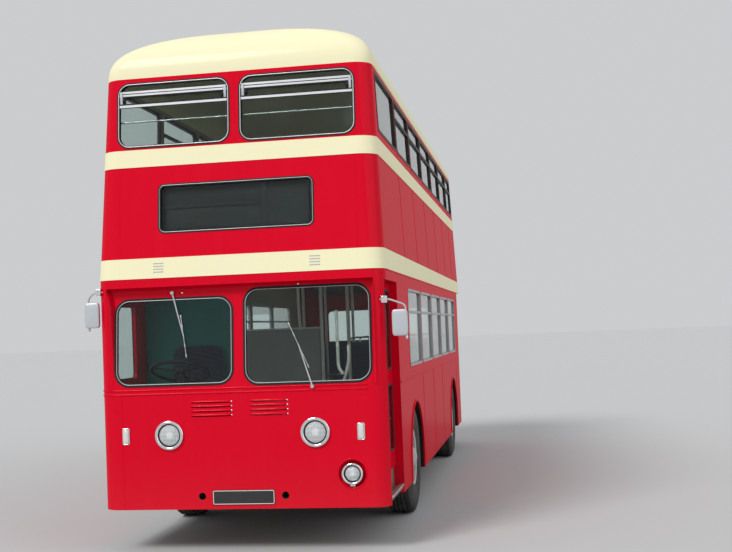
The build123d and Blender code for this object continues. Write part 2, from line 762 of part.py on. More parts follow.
def rear_end():
    """Rear walls of both decks, the engine housing and its lid, the emergency door."""
    wall = upper_skin(DECK_Z, EAVES_Z, 0, SIDE_WALL)
    wall &= block(-FAR, FAR, UPPER_REAR - REAR_ZONE, FAR, DECK_Z, EAVES_Z)
    wall += (upper_solid(DECK_Z, DECK_Z + SIDE_WALL, SIDE_WALL)
             & block(-FAR, FAR, LOWER_REAR - SIDE_WALL, FAR, DECK_Z, DECK_Z + SIDE_WALL))
    zone = (UPPER_REAR - REAR_ZONE, UPPER_REAR + 60)
    wall -= front_panel(-EXIT_HALF, EXIT_HALF, EXIT_Z0, EXIT_Z1, WIN_RADIUS, *zone)
    lower = lower_skin(SKIRT_Z, DECK_Z, 0, SIDE_WALL)
    lower &= block(-FAR, FAR, LOWER_REAR - CORNER_ZONE, FAR, SKIRT_Z, DECK_Z)
    lower_zone = (LOWER_REAR - CORNER_ZONE, LOWER_REAR + 60)
    hole = front_panel(-REAR_WIN_HALF, REAR_WIN_HALF, REAR_WIN_Z0, REAR_WIN_Z1, WIN_RADIUS, *lower_zone)
    edge = HOUSING_HALF - HOUSING_SKIN
    lower -= block(-edge, edge, LOWER_REAR - CORNER_ZONE, FAR, 0, FLOOR_Z) + hole
    exit_fixed, exit_moving = hinges(exit_hinge_places())
    add("upper_rear_panel", wall + exit_fixed)
    add("lower_rear_panel", lower)
    door_skin = upper_skin(DECK_Z, EAVES_Z, 0, 32)
    glass_skin = upper_skin(DECK_Z, EAVES_Z, GLASS_SET, GLASS_SET + GLASS_THICK)
    door = front_panel(-EXIT_HALF + DOOR_GAP, EXIT_HALF - DOOR_GAP, EXIT_Z0 + DOOR_GAP, EXIT_Z1 - DOOR_GAP,
                       WIN_RADIUS - DOOR_GAP, *zone)
    light = front_panel(-EXIT_HALF + 70, EXIT_HALF - 70, UPPER_WIN_Z0, EXIT_Z1 - 70, WIN_RADIUS, *zone)
    add("emergency_door", ((door & door_skin) - light) + exit_moving)
    add("emergency_door_glass", light & glass_skin)

    def housing(inset):
        centre = Pos(0, at((LOWER_REAR + HOUSING_REAR - inset) / 2), HOUSING_Z0)
        face = centre * Rectangle(2 * (HOUSING_HALF - inset), HOUSING_REAR - inset - LOWER_REAR)
        rear = face.vertices().filter_by(lambda v: v.Y > at(LOWER_REAR + 100))
        face = fillet(rear, HOUSING_RADIUS - inset)
        return extrude(face, HOUSING_Z1 - HOUSING_Z0 - inset)

    shell = housing(0) - housing(HOUSING_SKIN)
    shell -= block(-COVER_HALF, COVER_HALF, HOUSING_REAR - 100, FAR, COVER_Z0, COVER_Z1)
    for side in (-1, 1):
        flank = side * (HOUSING_HALF - 20)
        for z in HOUSING_SLOT_Z:
            shell -= block(side * HOUSING_SLOT_X - 60, side * HOUSING_SLOT_X + 60, HOUSING_REAR - 60, FAR,
                           z, z + HOUSING_SLOT_H)
            shell -= block(flank - 40, flank + 40, LOWER_REAR + 80, HOUSING_REAR - 230,
                           z, z + HOUSING_SLOT_H)
    lid_fixed, lid_moving = hinges(lid_hinge_places())
    add("engine_housing", shell + lid_fixed)
    gap = COVER_GAP
    cover = block(-COVER_HALF + gap, COVER_HALF - gap, HOUSING_REAR - HOUSING_SKIN, HOUSING_REAR,
                  COVER_Z0 + gap, COVER_Z1 - gap)
    for z in COVER_SLOT_Z:
        cover -= block(-COVER_SLOT_HALF, COVER_SLOT_HALF, HOUSING_REAR - 60, FAR, z, z + COVER_SLOT_H)
    cover += block(-90, 90, HOUSING_REAR, LENGTH - LAMP_REACH, COVER_Z0 + 26, COVER_Z0 + 50)
    cover += block(-PLATE_W / 2, PLATE_W / 2, HOUSING_REAR, HOUSING_REAR + PLATE_THICK, COVER_Z0 + 80,
                   COVER_Z0 + 80 + PLATE_H)
    add("engine_cover", cover + lid_moving)
    engine = block(-ENGINE_HALF, ENGINE_HALF, LOWER_REAR + 20, HOUSING_REAR - 70, ENGINE_Z0, ENGINE_Z1)
    add("engine_block", engine)
    return hole & lower_skin(SKIRT_Z, DECK_Z, GLASS_SET, GLASS_SET + GLASS_THICK)


def leaf(d0, d1):
    """One leaf of the entrance door: a red frame with two tall lights, and its panes."""
    frame = block(LEAF_X0, LEAF_X1, d0, d1, DOOR_FOOT_Z, DOOR_TOP_Z - LEAF_GAP)
    lights = ((DOOR_FOOT_Z + LEAF_TOE, LEAF_RAIL_Z0), (LEAF_RAIL_Z1, DOOR_TOP_Z - LEAF_GAP - 60))
    panes = []
    for z0, z1 in lights:
        light = side_panel(d0 + LEAF_STILE, d1 - LEAF_STILE, z0, z1, 30, LEAF_X0 - 5, LEAF_X1 + 5)
        frame -= light
        mid = (LEAF_X0 + LEAF_X1) / 2
        panes.append(light & block(mid - 3, mid + 3, d0, d1, z0, z1))
    return frame - bar_z(LEAF_X1, FOLD_D, FOLD_R + 1, 0, DECK_Z), panes


def doors():
    """Entrance leaves, which fold inwards to the rear, and the cab door on the offside."""
    rear, rear_panes = leaf(FOLD_D + LEAF_SPLIT / 2, DOOR_D1 - LEAF_GAP)
    front, front_panes = leaf(DOOR_D0 + LEAF_GAP, FOLD_D - LEAF_SPLIT / 2)
    reach = FOLD_R + 6
    for z in FOLD_Z:
        front += bar_z(LEAF_X1, FOLD_D, FOLD_R, z, z + 60)
        front += block(LEAF_X1 - 5, LEAF_X1, FOLD_D - reach, FOLD_D, z, z + 60)
        front -= bar_z(LEAF_X1, FOLD_D, FOLD_PIN_R + RUNNING, z - 1, z + 61)
        for z0 in (z - 41, z + 61):
            rear += bar_z(LEAF_X1, FOLD_D, FOLD_R, z0, z0 + 40)
            rear += block(LEAF_X1 - 5, LEAF_X1, FOLD_D, FOLD_D + reach, z0, z0 + 40)
        rear += bar_z(LEAF_X1, FOLD_D, FOLD_PIN_R, z - 41, z + 101)
    add("rear_door_leaf", rear + leaf_pivot(LEAF_PIVOT_R, LEAF_PIVOT_UP))
    add("rear_door_leaf_glass", *rear_panes)
    add("front_door_leaf", front)
    add("front_door_leaf_glass", *front_panes)
    d0, d1 = CAB_DOOR_D0 + DOOR_GAP, CAB_DOOR_D1 - DOOR_GAP
    z0, z1 = CAB_DOOR_Z0 + DOOR_GAP, CAB_DOOR_Z1 - DOOR_GAP
    door = block(-HALF, -HALF + 35, d0, d1, z0, z1)
    light = side_panel(d0 + 55, d1 - 55, LOWER_WIN_Z0, z1 - 55, 50, -HALF - 5, -HALF + 40)
    add("cab_door", (door - light) + hinges(cab_hinge_places())[1])
    add("cab_door_glass", light & block(-HALF + GLASS_SET, -HALF + GLASS_SET + GLASS_THICK, d0, d1, z0, z1))


def wheel_box_spans():
    """Front, rear and inner edge of the boxes over the wheels, one row for each axle."""
    rear_in = WHEEL_X - TWIN_PITCH - TYRE_W / 2 - BOX_SKIN - BOX_CLEAR
    return ((FRONT_AXLE - WHEEL_BOX_HALF, FRONT_AXLE + WHEEL_BOX_HALF, WHEEL_BOX_IN),
            (REAR_AXLE - WHEEL_BOX_HALF, REAR_AXLE + WHEEL_BOX_HALF, rear_in))


def floors():
    """Saloon floor, entrance platform with its step and the cab floor, and the upper floor."""
    edge = INNER - 1
    floor = block(-edge, edge, PLATFORM_D1, LOWER_REAR - SIDE_WALL, RAIL_Z1, FLOOR_Z)
    low = PLATFORM_Z - FLOOR_THICK
    platform = block(-edge, edge, FRONT_WALL, PLATFORM_D1, low, PLATFORM_Z)
    platform -= block(LEAF_X0 - 12, FAR, DOOR_D0 - JAMB, DOOR_D1 + JAMB, 0, FAR)
    platform += block(-edge, edge, PLATFORM_D1 - 30, PLATFORM_D1, low, FLOOR_Z)
    platform += block(-edge, CAB_EDGE_X, CAB_FLOOR_D0, BULKHEAD_D, CAB_FLOOR_Z - FLOOR_THICK, CAB_FLOOR_Z)
    platform += block(CAB_EDGE_X - 30, CAB_EDGE_X, CAB_FLOOR_D0, BULKHEAD_D, low, CAB_FLOOR_Z)
    platform += block(-edge, CAB_EDGE_X, CAB_FLOOR_D0, CAB_FLOOR_D0 + 30, low, CAB_FLOOR_Z)
    inside = lower_solid(0, DECK_Z, FRONT_WALL - 10)
    platform = platform & inside
    step_x0 = LEAF_X0 - 12
    platform += block(step_x0 - 5, step_x0 + 20, DOOR_D0, DOOR_D1, SKIRT_Z + 40, PLATFORM_Z)
    platform += block(step_x0, HALF - 10, DOOR_D0, DOOR_D1, SKIRT_Z + 40, SKIRT_Z + 60)
    floor = floor & inside
    boxes = []
    for d0, d1, inner in wheel_box_spans():
        floor -= block(inner, FAR, d0, d1, 0, FAR) + block(-FAR, -inner, d0, d1, 0, FAR)
        for side in (-1, 1):
            x0, x1 = sorted((side * inner, side * (INNER - 10)))
            a, b = sorted((side * (inner + BOX_SKIN), side * INNER))
            hollow = block(a, b, d0 + BOX_SKIN, d1 - BOX_SKIN, 0, WHEEL_BOX_Z - BOX_SKIN)
            boxes.append(block(x0, x1, d0, d1, RAIL_Z1, WHEEL_BOX_Z) - hollow)
    add("lower_floor", floor)
    add("entrance_platform", platform)
    add("wheel_boxes", *boxes)
    z0 = UPPER_FLOOR_Z - UPPER_FLOOR_THICK
    deck = upper_solid(z0, UPPER_FLOOR_Z, SIDE_WALL) & block(-FAR, FAR, FRONT_ZONE, FAR, 0, FAR)
    deck += upper_solid(z0, UPPER_FLOOR_Z, FRONT_WALL) & block(-FAR, FAR, 0, FRONT_ZONE, 0, FAR)
    deck -= block(-INNER + 10, -INNER + STAIR_W, BULKHEAD_D + 200, stair_end(), 0, FAR)
    add("upper_floor", deck)


def stair_end():
    """Where the flight meets the upper floor."""
    return STAIR_FLIGHT_D + STAIR_TREAD * (STAIR_STEPS - 4)


def stairs():
    """Staircase: two steps in from the platform, a corner step, then a flight to the rear."""
    x0, x1 = -INNER + 12, -INNER + STAIR_W - 12
    d0 = BULKHEAD_D + BULKHEAD_THICK
    flight = block(x0, x1, d0, STAIR_FLIGHT_D, PLATFORM_Z, PLATFORM_Z + 3 * STAIR_RISE)
    for step in (1, 2):
        right = x1 + (3 - step) * TURN_TREAD
        flight += block(x1 - 5, right, d0, STAIR_FLIGHT_D - 20, PLATFORM_Z, PLATFORM_Z + step * STAIR_RISE)
    flight -= block(-FAR, FAR, PLATFORM_D1 - 30, FAR, 0, FLOOR_Z)
    for step in range(4, STAIR_STEPS):
        z = PLATFORM_Z + step * STAIR_RISE
        d = STAIR_FLIGHT_D + (step - 4) * STAIR_TREAD
        flight += block(x0, x1, d - 5, d + STAIR_TREAD, z - STEP_THICK, z)
        flight += block(x0, x1, d - 5, d + 20, z - STAIR_RISE - STEP_THICK, z)
    end = stair_end()
    flight += block(x0, x1, end - 25, end, UPPER_FLOOR_Z - STAIR_RISE - STEP_THICK, UPPER_FLOOR_Z)
    add("staircase", flight)


def cab():
    """Bulkhead behind the driver with its low partition, dash with the steering column, seat."""
    top = UPPER_FLOOR_Z - UPPER_FLOOR_THICK
    back = BULKHEAD_D + BULKHEAD_THICK
    bulkhead = block(-INNER + 10, PARTITION_X0, BULKHEAD_D, back, PLATFORM_Z, top)
    bulkhead += block(PARTITION_X0, PARTITION_X1, BULKHEAD_D, back, PLATFORM_Z, PARTITION_Z)
    bulkhead += block(CAB_EDGE_X - 28, CAB_EDGE_X - 2, CAB_FLOOR_D0 + 60, BULKHEAD_D, CAB_FLOOR_Z, DASH_TOP)
    add("cab_bulkhead", bulkhead)
    inner = lower_solid(SKIRT_Z, DECK_Z, FRONT_WALL + 1)
    dash = block(-INNER, LEAF_X0 - 60, FRONT_WALL, 250, SILL_Z - 15, DASH_TOP) & inner
    dash += block(-INNER + 14, CAB_EDGE_X - 30, 236, 250, CAB_FLOOR_Z + 60, SILL_Z) & inner
    dash += block(-1000, -300, 245, 330, 1230, DASH_TOP + 30)
    place = Pos(STEER_X, at(STEER_D), STEER_Z) * Rot(-STEER_LEAN, 0, 0)
    low = (Align.CENTER, Align.CENTER, Align.MIN)
    column = place * (Pos(0, 0, -COLUMN_L) * Cylinder(16 - RUNNING, COLUMN_L, align=low))
    column += place * (Pos(0, 0, -COLUMN_L) * Cylinder(COLUMN_R, COLUMN_L - 28, align=low))
    column -= block(-FAR, FAR, 0, FAR, 0, CAB_FLOOR_Z)
    add("dash", dash + column)


def steering():
    """Steering wheel, which lies nearly flat: rim, hub and three spokes."""
    wheel = Torus(STEER_R, 14) + Cylinder(48, 40)
    for spoke in range(3):
        wheel += Rot(0, 0, 90 + 120 * spoke) * Pos(STEER_R / 2, 0, 0) * Box(STEER_R - 10, 22, 12)
    wheel -= Pos(0, 0, -20) * Cylinder(16, 50)
    add("steering_wheel", Pos(STEER_X, at(STEER_D), STEER_Z) * Rot(-STEER_LEAN, 0, 0) * wheel)


def seat(x, d, floor):
    """Cushion on two plate legs, and the leaning back, of one double seat that faces forward."""
    z = floor + SEAT_Z
    rear = d + SEAT_DEEP
    x0, x1 = x - SEAT_W / 2, x + SEAT_W / 2
    cushion = block(x0, x1, d, rear - BACK_THICK, z, z + CUSHION)
    for side in (-1, 1):
        mid = x + side * (SEAT_W / 2 - 130)
        cushion += block(mid - 15, mid + 15, d + 60, rear - BACK_THICK, floor, z + 10)
    outline = [(rear - BACK_THICK, z), (rear - BACK_THICK + BACK_LEAN, floor + BACK_Z),
               (rear + BACK_LEAN, floor + BACK_Z), (rear, z)]
    back = side_profile(outline, x0, x1)
    return cushion - back, back


def seats():
    """Driver's seat, rows of double seats, benches over the rear wheels and at the back."""
    x = INNER - 12 - SEAT_W / 2
    driver = block(-860, -440, 800, 1020, CAB_FLOOR_Z, 1060) + block(-890, -410, 690, 1030, 1060, 1170)
    pairs = [(driver, block(-890, -410, 1030, 1110, 1060, 1690))]
    box_d0, box_d1 = REAR_AXLE - WHEEL_BOX_HALF, REAR_AXLE + WHEEL_BOX_HALF
    for row in range(LOWER_ROWS):
        d = LOWER_ROW_D + row * SEAT_PITCH
        pairs += [seat(side * x, d, FLOOR_Z) for side in (-1, 1)]
    for side in (-1, 1):
        bench_x0, bench_x1 = sorted((side * 640, side * (INNER - 70)))
        bench = block(bench_x0, bench_x1, box_d0, box_d1, WHEEL_BOX_Z, WHEEL_BOX_Z + 90)
        back_x0, back_x1 = sorted((side * (INNER - 70), side * (INNER - 12)))
        pairs.append((bench, block(back_x0, back_x1, box_d0, box_d1, WHEEL_BOX_Z, LOWER_WIN_Z0 + 60)))
    rear = LOWER_REAR - SIDE_WALL - 2
    bench = block(-1050, 1050, rear - 470, rear - 90, FLOOR_Z + 300, FLOOR_Z + 420)
    bench += block(-1000, 1000, rear - 420, rear - 380, FLOOR_Z, FLOOR_Z + 310)
    pairs.append((bench, block(-1050, 1050, rear - 90, rear, FLOOR_Z + 300, FLOOR_Z + 900)))
    lean = SIDE_LEAN * (UPPER_FLOOR_Z + BACK_Z - DECK_Z)
    for row in range(UPPER_ROWS):
        d = UPPER_ROW_D + row * SEAT_PITCH
        for side in (-1, 1):
            if side > 0 or row >= STAIR_ROWS:
                pairs.append(seat(side * (x - lean), d, UPPER_FLOOR_Z))
    add("seat_cushions", *[cushion for cushion, _ in pairs])
    add("seat_backs", *[back for _, back in pairs])


def grab_rails():
    """Upright poles on the platform and along the lower gangway."""
    top = UPPER_FLOOR_Z - UPPER_FLOOR_THICK
    rails = [bar_z(POLE_X, POLE_D, POLE_R, PLATFORM_Z, top),
             bar_z(PARTITION_X1 + 20, BULKHEAD_D + 15, POLE_R, PLATFORM_Z, top)]
    for row in (1, 3):
        d = LOWER_ROW_D + row * SEAT_PITCH + SEAT_DEEP + 80
        rails += [bar_z(side * GANGWAY_POLE_X, d, POLE_R, FLOOR_Z, top) for side in (-1, 1)]
    add("grab_rails", *rails)


def mirrors():
    """A mirror each side: head, stay and an arm from the front corner."""
    both = []
    for side, (reach, head_z) in ((1, NEARSIDE_MIRROR), (-1, OFFSIDE_MIRROR)):
        d = MIRROR_ARM_D
        head = block(reach - MIRROR_W, reach, d - MIRROR_THICK / 2, d + MIRROR_THICK / 2,
                     head_z - MIRROR_H, head_z)
        head = fillet(head.edges().filter_by(Axis.Y), 22)
        arm_z = head_z + 40
        stay_x = reach - MIRROR_W / 2
        stay = bar_z(stay_x, d, MIRROR_ARM_R, head_z - 10, arm_z + MIRROR_ARM_R)
        arm = bar_x(d, arm_z, MIRROR_ARM_R, HALF - 90, stay_x + MIRROR_ARM_R)
        set_of_three = (head + stay + arm) - lower_solid(SILL_Z, DECK_Z, 0)
        set_of_three += bar_x(d, arm_z, 22, HALF - 45, HALF - 20) - lower_solid(SILL_Z, DECK_Z, 0)
        both.append(set_of_three if side > 0 else mirrored(set_of_three))
    add("mirrors", *both)


def screen_place(x, z):
    """Frame that lies on the windscreens' sloping plane at one place, its Y into the bus."""
    lean = SCREEN_SETBACK / (PEAK_Z - SCREEN_SILL_Z)
    return Pos(x, at(screen_slope(z)), z) * Rot(-degrees(atan(lean)), 0, 0)


def spindle(x, z, r, reach):
    """Round bar at a wiper's pivot, from the arm to some depth behind the screens' plane."""
    bar = Rot(90, 0, 0) * Cylinder(r, WIPER_OFF + reach)
    return screen_place(x, z) * Pos(0, (reach - WIPER_OFF) / 2, 0) * bar


def wiper(name, x, z, reach, slant, length, turn):
    """Wiper on its spindle: an arm and its blade, lying parallel to the windscreen."""
    arm = Pos(0, 0, -reach / 2) * Box(10, 8, reach)
    blade = Pos(0, 0, -reach) * Rot(0, turn, 0) * Box(8, 12, length)
    arm_set = Pos(0, -WIPER_OFF, 0) * (Rot(0, slant, 0) * (arm + blade))
    boss = Pos(0, -WIPER_OFF, 0) * Rot(90, 0, 0) * Cylinder(16, 12)
    add(name, screen_place(x, z) * (arm_set + boss) + spindle(x, z, SPINDLE_R, SPINDLE_IN))


def wheels():
    """Front wheels and rear twin wheels, with their stub axles' bores."""
    r = TYRE_D / 2
    rim_r = RIM_D / 2
    bore = STUB_D / 2 + RUNNING
    half = TYRE_W / 2
    dish = half - 80
    rim = [(bore, -60), (HUB_D / 2 - 20, -60), (HUB_D / 2 - 20, dish - RIM_DISH), (RIM_BORE_D / 2, dish - 70),
           (RIM_BORE_D / 2, -half + 30), (rim_r, -half + 22), (rim_r, half - 22), (RIM_BORE_D / 2, half - 30),
           (RIM_BORE_D / 2, dish - 40), (HUB_D / 2 + 40, dish), (HUB_D / 2, dish), (HUB_D / 2 - 20, dish + 34),
           (bore, dish + 34)]

    def tyre(x, d):
        """Ring of TYRE_SIDES flats, chamfered at both shoulders, that stands on one flat."""
        def ring(radius, along):
            face = RegularPolygon(radius, TYRE_SIDES, major_radius=False, rotation=180 / TYRE_SIDES)
            return Pos(0, 0, along) * face
        stations = ((r - SHOULDER_DROP, -half), (r, -TREAD_W / 2), (r, TREAD_W / 2), (r - SHOULDER_DROP, half))
        body = loft([ring(*station).face() for station in stations], ruled=True)
        body -= extrude(ring(rim_r, -half), TYRE_W, dir=(0, 0, 1))
        return Pos(x, at(d), AXLE_Z) * Rot(0, 90, 0) * body

    def spun(points, x, side, d):
        shape = make_face(Polyline(*points, close=True))
        ring = revolve(Plane.XZ * shape, Axis.Z)
        return Pos(x, at(d), AXLE_Z) * Rot(0, 90 * side, 0) * ring

    for name, side in (("nearside", 1), ("offside", -1)):
        add(name + "_front_tyre", tyre(side * WHEEL_X, FRONT_AXLE))
        add(name + "_front_rim", spun(rim, side * WHEEL_X, side, FRONT_AXLE))
        inner = side * (WHEEL_X - TWIN_PITCH)
        tyres = [tyre(side * WHEEL_X, REAR_AXLE), tyre(inner, REAR_AXLE)]
        add(name + "_rear_tyres", *tyres)
        deep = half - 6
        link = TWIN_PITCH
        twin = [(bore, -link - 60), (HUB_D / 2 - 10, -link - 60), (HUB_D / 2 - 10, -deep + 40),
                (RIM_BORE_D / 2, -deep - 20), (RIM_BORE_D / 2, -link - half + 30), (rim_r, -link - half + 22),
                (rim_r, -link + half - 22), (RIM_BORE_D / 2, -link + half - 30), (RIM_BORE_D / 2 + 6, -half + 20),
                (rim_r, -half + 22), (rim_r, half - 22), (RIM_BORE_D / 2, half - 30), (RIM_BORE_D / 2, -half + 60),
                (HUB_D / 2 + 30, -deep + 70), (HUB_D / 2 - 10, -deep + 70), (HUB_D / 2 - 30, -10), (bore, -10)]
        add(name + "_rear_rims", spun(twin, side * WHEEL_X, side, REAR_AXLE))


def running_gear():
    """Frame, springs, axles and steering knuckles."""
    rails = None
    outriggers = []
    axle_top = AXLE_Z + 96
    for side in (-1, 1):
        outline = [(FRONT_WALL + 2, FRONT_RAIL_Z0), (PLATFORM_D1, FRONT_RAIL_Z0), (PLATFORM_D1 + 90, RAIL_Z0),
                   (REAR_AXLE - 200, RAIL_Z0), (REAR_AXLE - 140, axle_top), (REAR_AXLE + 140, axle_top),
                   (REAR_AXLE + 200, RAIL_Z0), (HOUSING_REAR - 120, RAIL_Z0 - 60),
                   (HOUSING_REAR - 120, 470), (LOWER_REAR + 20, 470), (LOWER_REAR - SIDE_WALL, RAIL_Z1),
                   (PLATFORM_D1, RAIL_Z1), (PLATFORM_D1, PLATFORM_Z - FLOOR_THICK),
                   (FRONT_WALL + 2, PLATFORM_Z - FLOOR_THICK)]
        rail = side_profile(outline, side * RAIL_X - RAIL_W / 2, side * RAIL_X + RAIL_W / 2)
        rails = rail if rails is None else rails + rail
    for d in (700, 3000, 4400, 5800, 8150):
        z0 = FRONT_RAIL_Z0 if d < PLATFORM_D1 else RAIL_Z0
        rails += block(-RAIL_X, RAIL_X, d - 50, d + 50, z0 + 10, z0 + 110)
        top = PLATFORM_Z - FLOOR_THICK if d < PLATFORM_D1 else RAIL_Z1
        for side in (-1, 1):
            x0, x1 = sorted((side * (RAIL_X + RAIL_W / 2), side * (INNER - OUTRIGGER_SHORT)))
            outriggers.append(block(x0, x1, d - 40, d + 40, top - 60, top))
    for side in (-1, 1):
        boss = bar_y(side * TOW_X, TOW_Z, TOW_BOSS_D / 2, FRONT_WALL + 2, FRONT_WALL + 2 + TOW_LENGTH)
        rails += boss
        rails -= bar_y(side * TOW_X, TOW_Z, TOW_BORE_D / 2, FRONT_WALL, FRONT_WALL + 2 + TOW_LENGTH)
    front = block(-FAR, FAR, 0, PLATFORM_D1, 0, FLOOR_Z)
    add("chassis_frame", rails & front, rails - front)
    outriggers.append(block(-1080, -RAIL_X - RAIL_W / 2, 4600, 5600, 400, RAIL_Z1 - 20))
    add("outriggers_and_tank", *outriggers)
    springs = []
    for side in (-1, 1):
        x0, x1 = side * RAIL_X - RAIL_W / 2 + 2, side * RAIL_X + RAIL_W / 2 - 2
        points = [(FRONT_AXLE - 600, 470), (FRONT_AXLE - 60, 430), (FRONT_AXLE + 60, 430),
                  (FRONT_AXLE + 600, 470), (FRONT_AXLE + 600, RAIL_Z0), (FRONT_AXLE + 540, RAIL_Z0),
                  (FRONT_AXLE, 460), (FRONT_AXLE - 540, RAIL_Z0), (FRONT_AXLE - 600, RAIL_Z0)]
        springs.append(side_profile(points, x0, x1))
        a, b = sorted((side * (RAIL_X + RAIL_W / 2), side * (RAIL_X + RAIL_W / 2 + 72)))
        points = [(REAR_AXLE - 650, 640), (REAR_AXLE - 60, AXLE_Z + 76), (REAR_AXLE + 60, AXLE_Z + 76),
                  (REAR_AXLE + 650, 640), (REAR_AXLE + 650, 672), (REAR_AXLE, AXLE_Z + 116),
                  (REAR_AXLE - 650, 672)]
        springs.append(side_profile(points, a, b))
    beam = block(-640, 640, FRONT_AXLE - 45, FRONT_AXLE + 45, 330, 420)
    beam += block(-RAIL_X - 50, -RAIL_X + 50, FRONT_AXLE - 60, FRONT_AXLE + 60, 415, 430)
    beam += block(RAIL_X - 50, RAIL_X + 50, FRONT_AXLE - 60, FRONT_AXLE + 60, 415, 430)
    eye = 44
    ear = 60
    plate = KNUCKLE_BOSS_R + KNUCKLE_GAP
    for side in (-1, 1):
        neck = KINGPIN_X - KNUCKLE_BOSS_R + 10
        arm = Polygon((side * 600, 330), (side * 640, 330), (side * neck, AXLE_Z - eye),
                      (side * neck, AXLE_Z + eye), (side * 600, 420), align=None)
        beam += seen_from_front(arm, FRONT_AXLE - 30, FRONT_AXLE + 30)
        beam += bar_z(side * KINGPIN_X, FRONT_AXLE, KNUCKLE_BOSS_R, AXLE_Z - eye, AXLE_Z + eye)
        beam -= bar_z(side * KINGPIN_X, FRONT_AXLE, KINGPIN_R + RUNNING, 0, 900)
        gap = eye + KNUCKLE_GAP
        knuckle = bar_z(side * KINGPIN_X, FRONT_AXLE, KINGPIN_R, AXLE_Z - gap - ear, AXLE_Z + gap + ear)
        x1 = KINGPIN_X + plate + KNUCKLE_PLATE
        for z0, z1 in ((AXLE_Z - gap - ear, AXLE_Z - gap), (AXLE_Z + gap, AXLE_Z + gap + ear)):
            knuckle += block(*sorted((side * KINGPIN_X, side * x1)), FRONT_AXLE - 45, FRONT_AXLE + 45, z0, z1)
            knuckle += bar_z(side * KINGPIN_X, FRONT_AXLE, 45, z0, z1)
        knuckle += block(*sorted((side * (KINGPIN_X + plate), side * x1)), FRONT_AXLE - 45,
                         FRONT_AXLE + 45, AXLE_Z - gap - ear, AXLE_Z + gap + ear)
        stub = bar_x(FRONT_AXLE, AXLE_Z, STUB_D / 2, *sorted((side * (x1 - 2), side * (WHEEL_X + 80))))
        name = "nearside_knuckle" if side > 0 else "offside_knuckle"
        add(name, knuckle + stub)
    for spring in springs[0::2]:
        beam += spring
    add("front_axle_beam", beam)
    casing = bar_x(REAR_AXLE, AXLE_Z, 74, -WHEEL_X + TWIN_PITCH + 80, WHEEL_X - TWIN_PITCH - 80)
    casing += bar_x(REAR_AXLE, AXLE_Z, 145, -130, 130)
    casing += bar_x(REAR_AXLE, AXLE_Z, STUB_D / 2, -WHEEL_X - 5, WHEEL_X + 5)
    for side in (-1, 1):
        a, b = sorted((side * (RAIL_X + RAIL_W / 2), side * (RAIL_X + RAIL_W / 2 + 72)))
        casing += block(a, b, REAR_AXLE - 60, REAR_AXLE + 60, AXLE_Z, AXLE_Z + 76)
    for spring in springs[1::2]:
        casing += spring
    add("rear_axle", casing)


aluminium = sides_and_windows()
cream_bands()
strips, vents, end_panes, blinds = upper_front()
low_strips, screens = windscreens()
add("front_gaskets", *strips, *low_strips)
add("window_frames", *aluminium, *vents)
add("blank_signs", blinds, front_plate())
front_apron()
front_lamps()
rear_lamps()
roof_dome()
end_panes.append(rear_end())
add("end_windows", *end_panes, *screens)
doors()
floors()
stairs()
cab()
steering()
seats()
grab_rails()
mirrors()
wiper("offside_wiper", *OFFSIDE_WIPER)
wiper("nearside_wiper", *NEARSIDE_WIPER)
wheels()
running_gear()

os.makedirs("parts", exist_ok=True)
for name, shape in PARTS.items():
    export_step(shape, f"parts/{name}.step")
print(len(PARTS), "pieces")
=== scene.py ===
"""Looks of a double decker bus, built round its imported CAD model."""
import math
from functools import cache, partial

import bpy
import numpy as np
from mathutils import Matrix, Vector


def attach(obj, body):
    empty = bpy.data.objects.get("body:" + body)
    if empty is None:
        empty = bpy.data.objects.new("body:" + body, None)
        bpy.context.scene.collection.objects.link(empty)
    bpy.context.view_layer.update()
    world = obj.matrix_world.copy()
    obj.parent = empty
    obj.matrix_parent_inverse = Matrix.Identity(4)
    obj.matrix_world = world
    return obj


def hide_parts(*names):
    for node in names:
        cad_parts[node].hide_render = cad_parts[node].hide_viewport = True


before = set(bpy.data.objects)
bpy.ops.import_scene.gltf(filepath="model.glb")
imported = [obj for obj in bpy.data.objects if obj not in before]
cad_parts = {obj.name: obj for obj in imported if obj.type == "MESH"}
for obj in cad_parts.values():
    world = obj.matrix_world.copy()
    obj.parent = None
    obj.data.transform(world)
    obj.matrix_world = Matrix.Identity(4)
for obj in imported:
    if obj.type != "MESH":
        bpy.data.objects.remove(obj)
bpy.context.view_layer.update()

bl_info = {
    "name": "Double decker bus",
    "version": (1, 0, 0),
    "blender": (4, 5, 0),
    "location": "3D View > Sidebar > Bus",
    "description": "Adds tyres, roof, seats, lamps, trim and finishes to the bus",
    "category": "Object",
}

# Places on the bus, in metres: X to the nearside, Y to the rear, Z up
FRONT = -4.546          # front wall below the deck line
HALF = 1.215            # side walls below the deck line, from the middle
CORNER = 0.160          # radius of the upright corners
DECK = 2.270            # deck line, above which all walls lean in
EAVES = 3.982
ROOF_TOP = 4.420
UPPER_REAR = 4.435      # upper rear wall at the deck line
LOWER_REAR = 4.029
HOUSING_REAR = 4.548    # rear of the engine housing
FRONT_LEAN = 0.100      # how far the upper walls lean in for each metre up
SIDE_LEAN = 0.039
REAR_LEAN = 0.030
SILL = 1.310            # belt moulding under the lower windows
LOWER_FLOOR = 0.72
UPPER_FLOOR = 2.53
AXLES = (FRONT + 2.130, FRONT + 7.083)
WHEEL_Z = 0.527         # wheels' centres, a tyre's radius up
WHEEL_X = 1.051         # middle of an outer tyre
TWIN = 0.318            # from an outer rear tyre to its twin
ARCH_RADIUS = 0.600
ARCH_Z = 0.474
FIRST_PILLAR = FRONT + 1.730 - 0.028
BAY = 1.220             # from one side pillar to the next

# The set-in wall round the windscreens: heights of its foot and its head, and how deep the head lies
SCREEN_FOOT, SCREEN_HEAD, SCREEN_DEPTH = 1.345, 2.196, 0.090

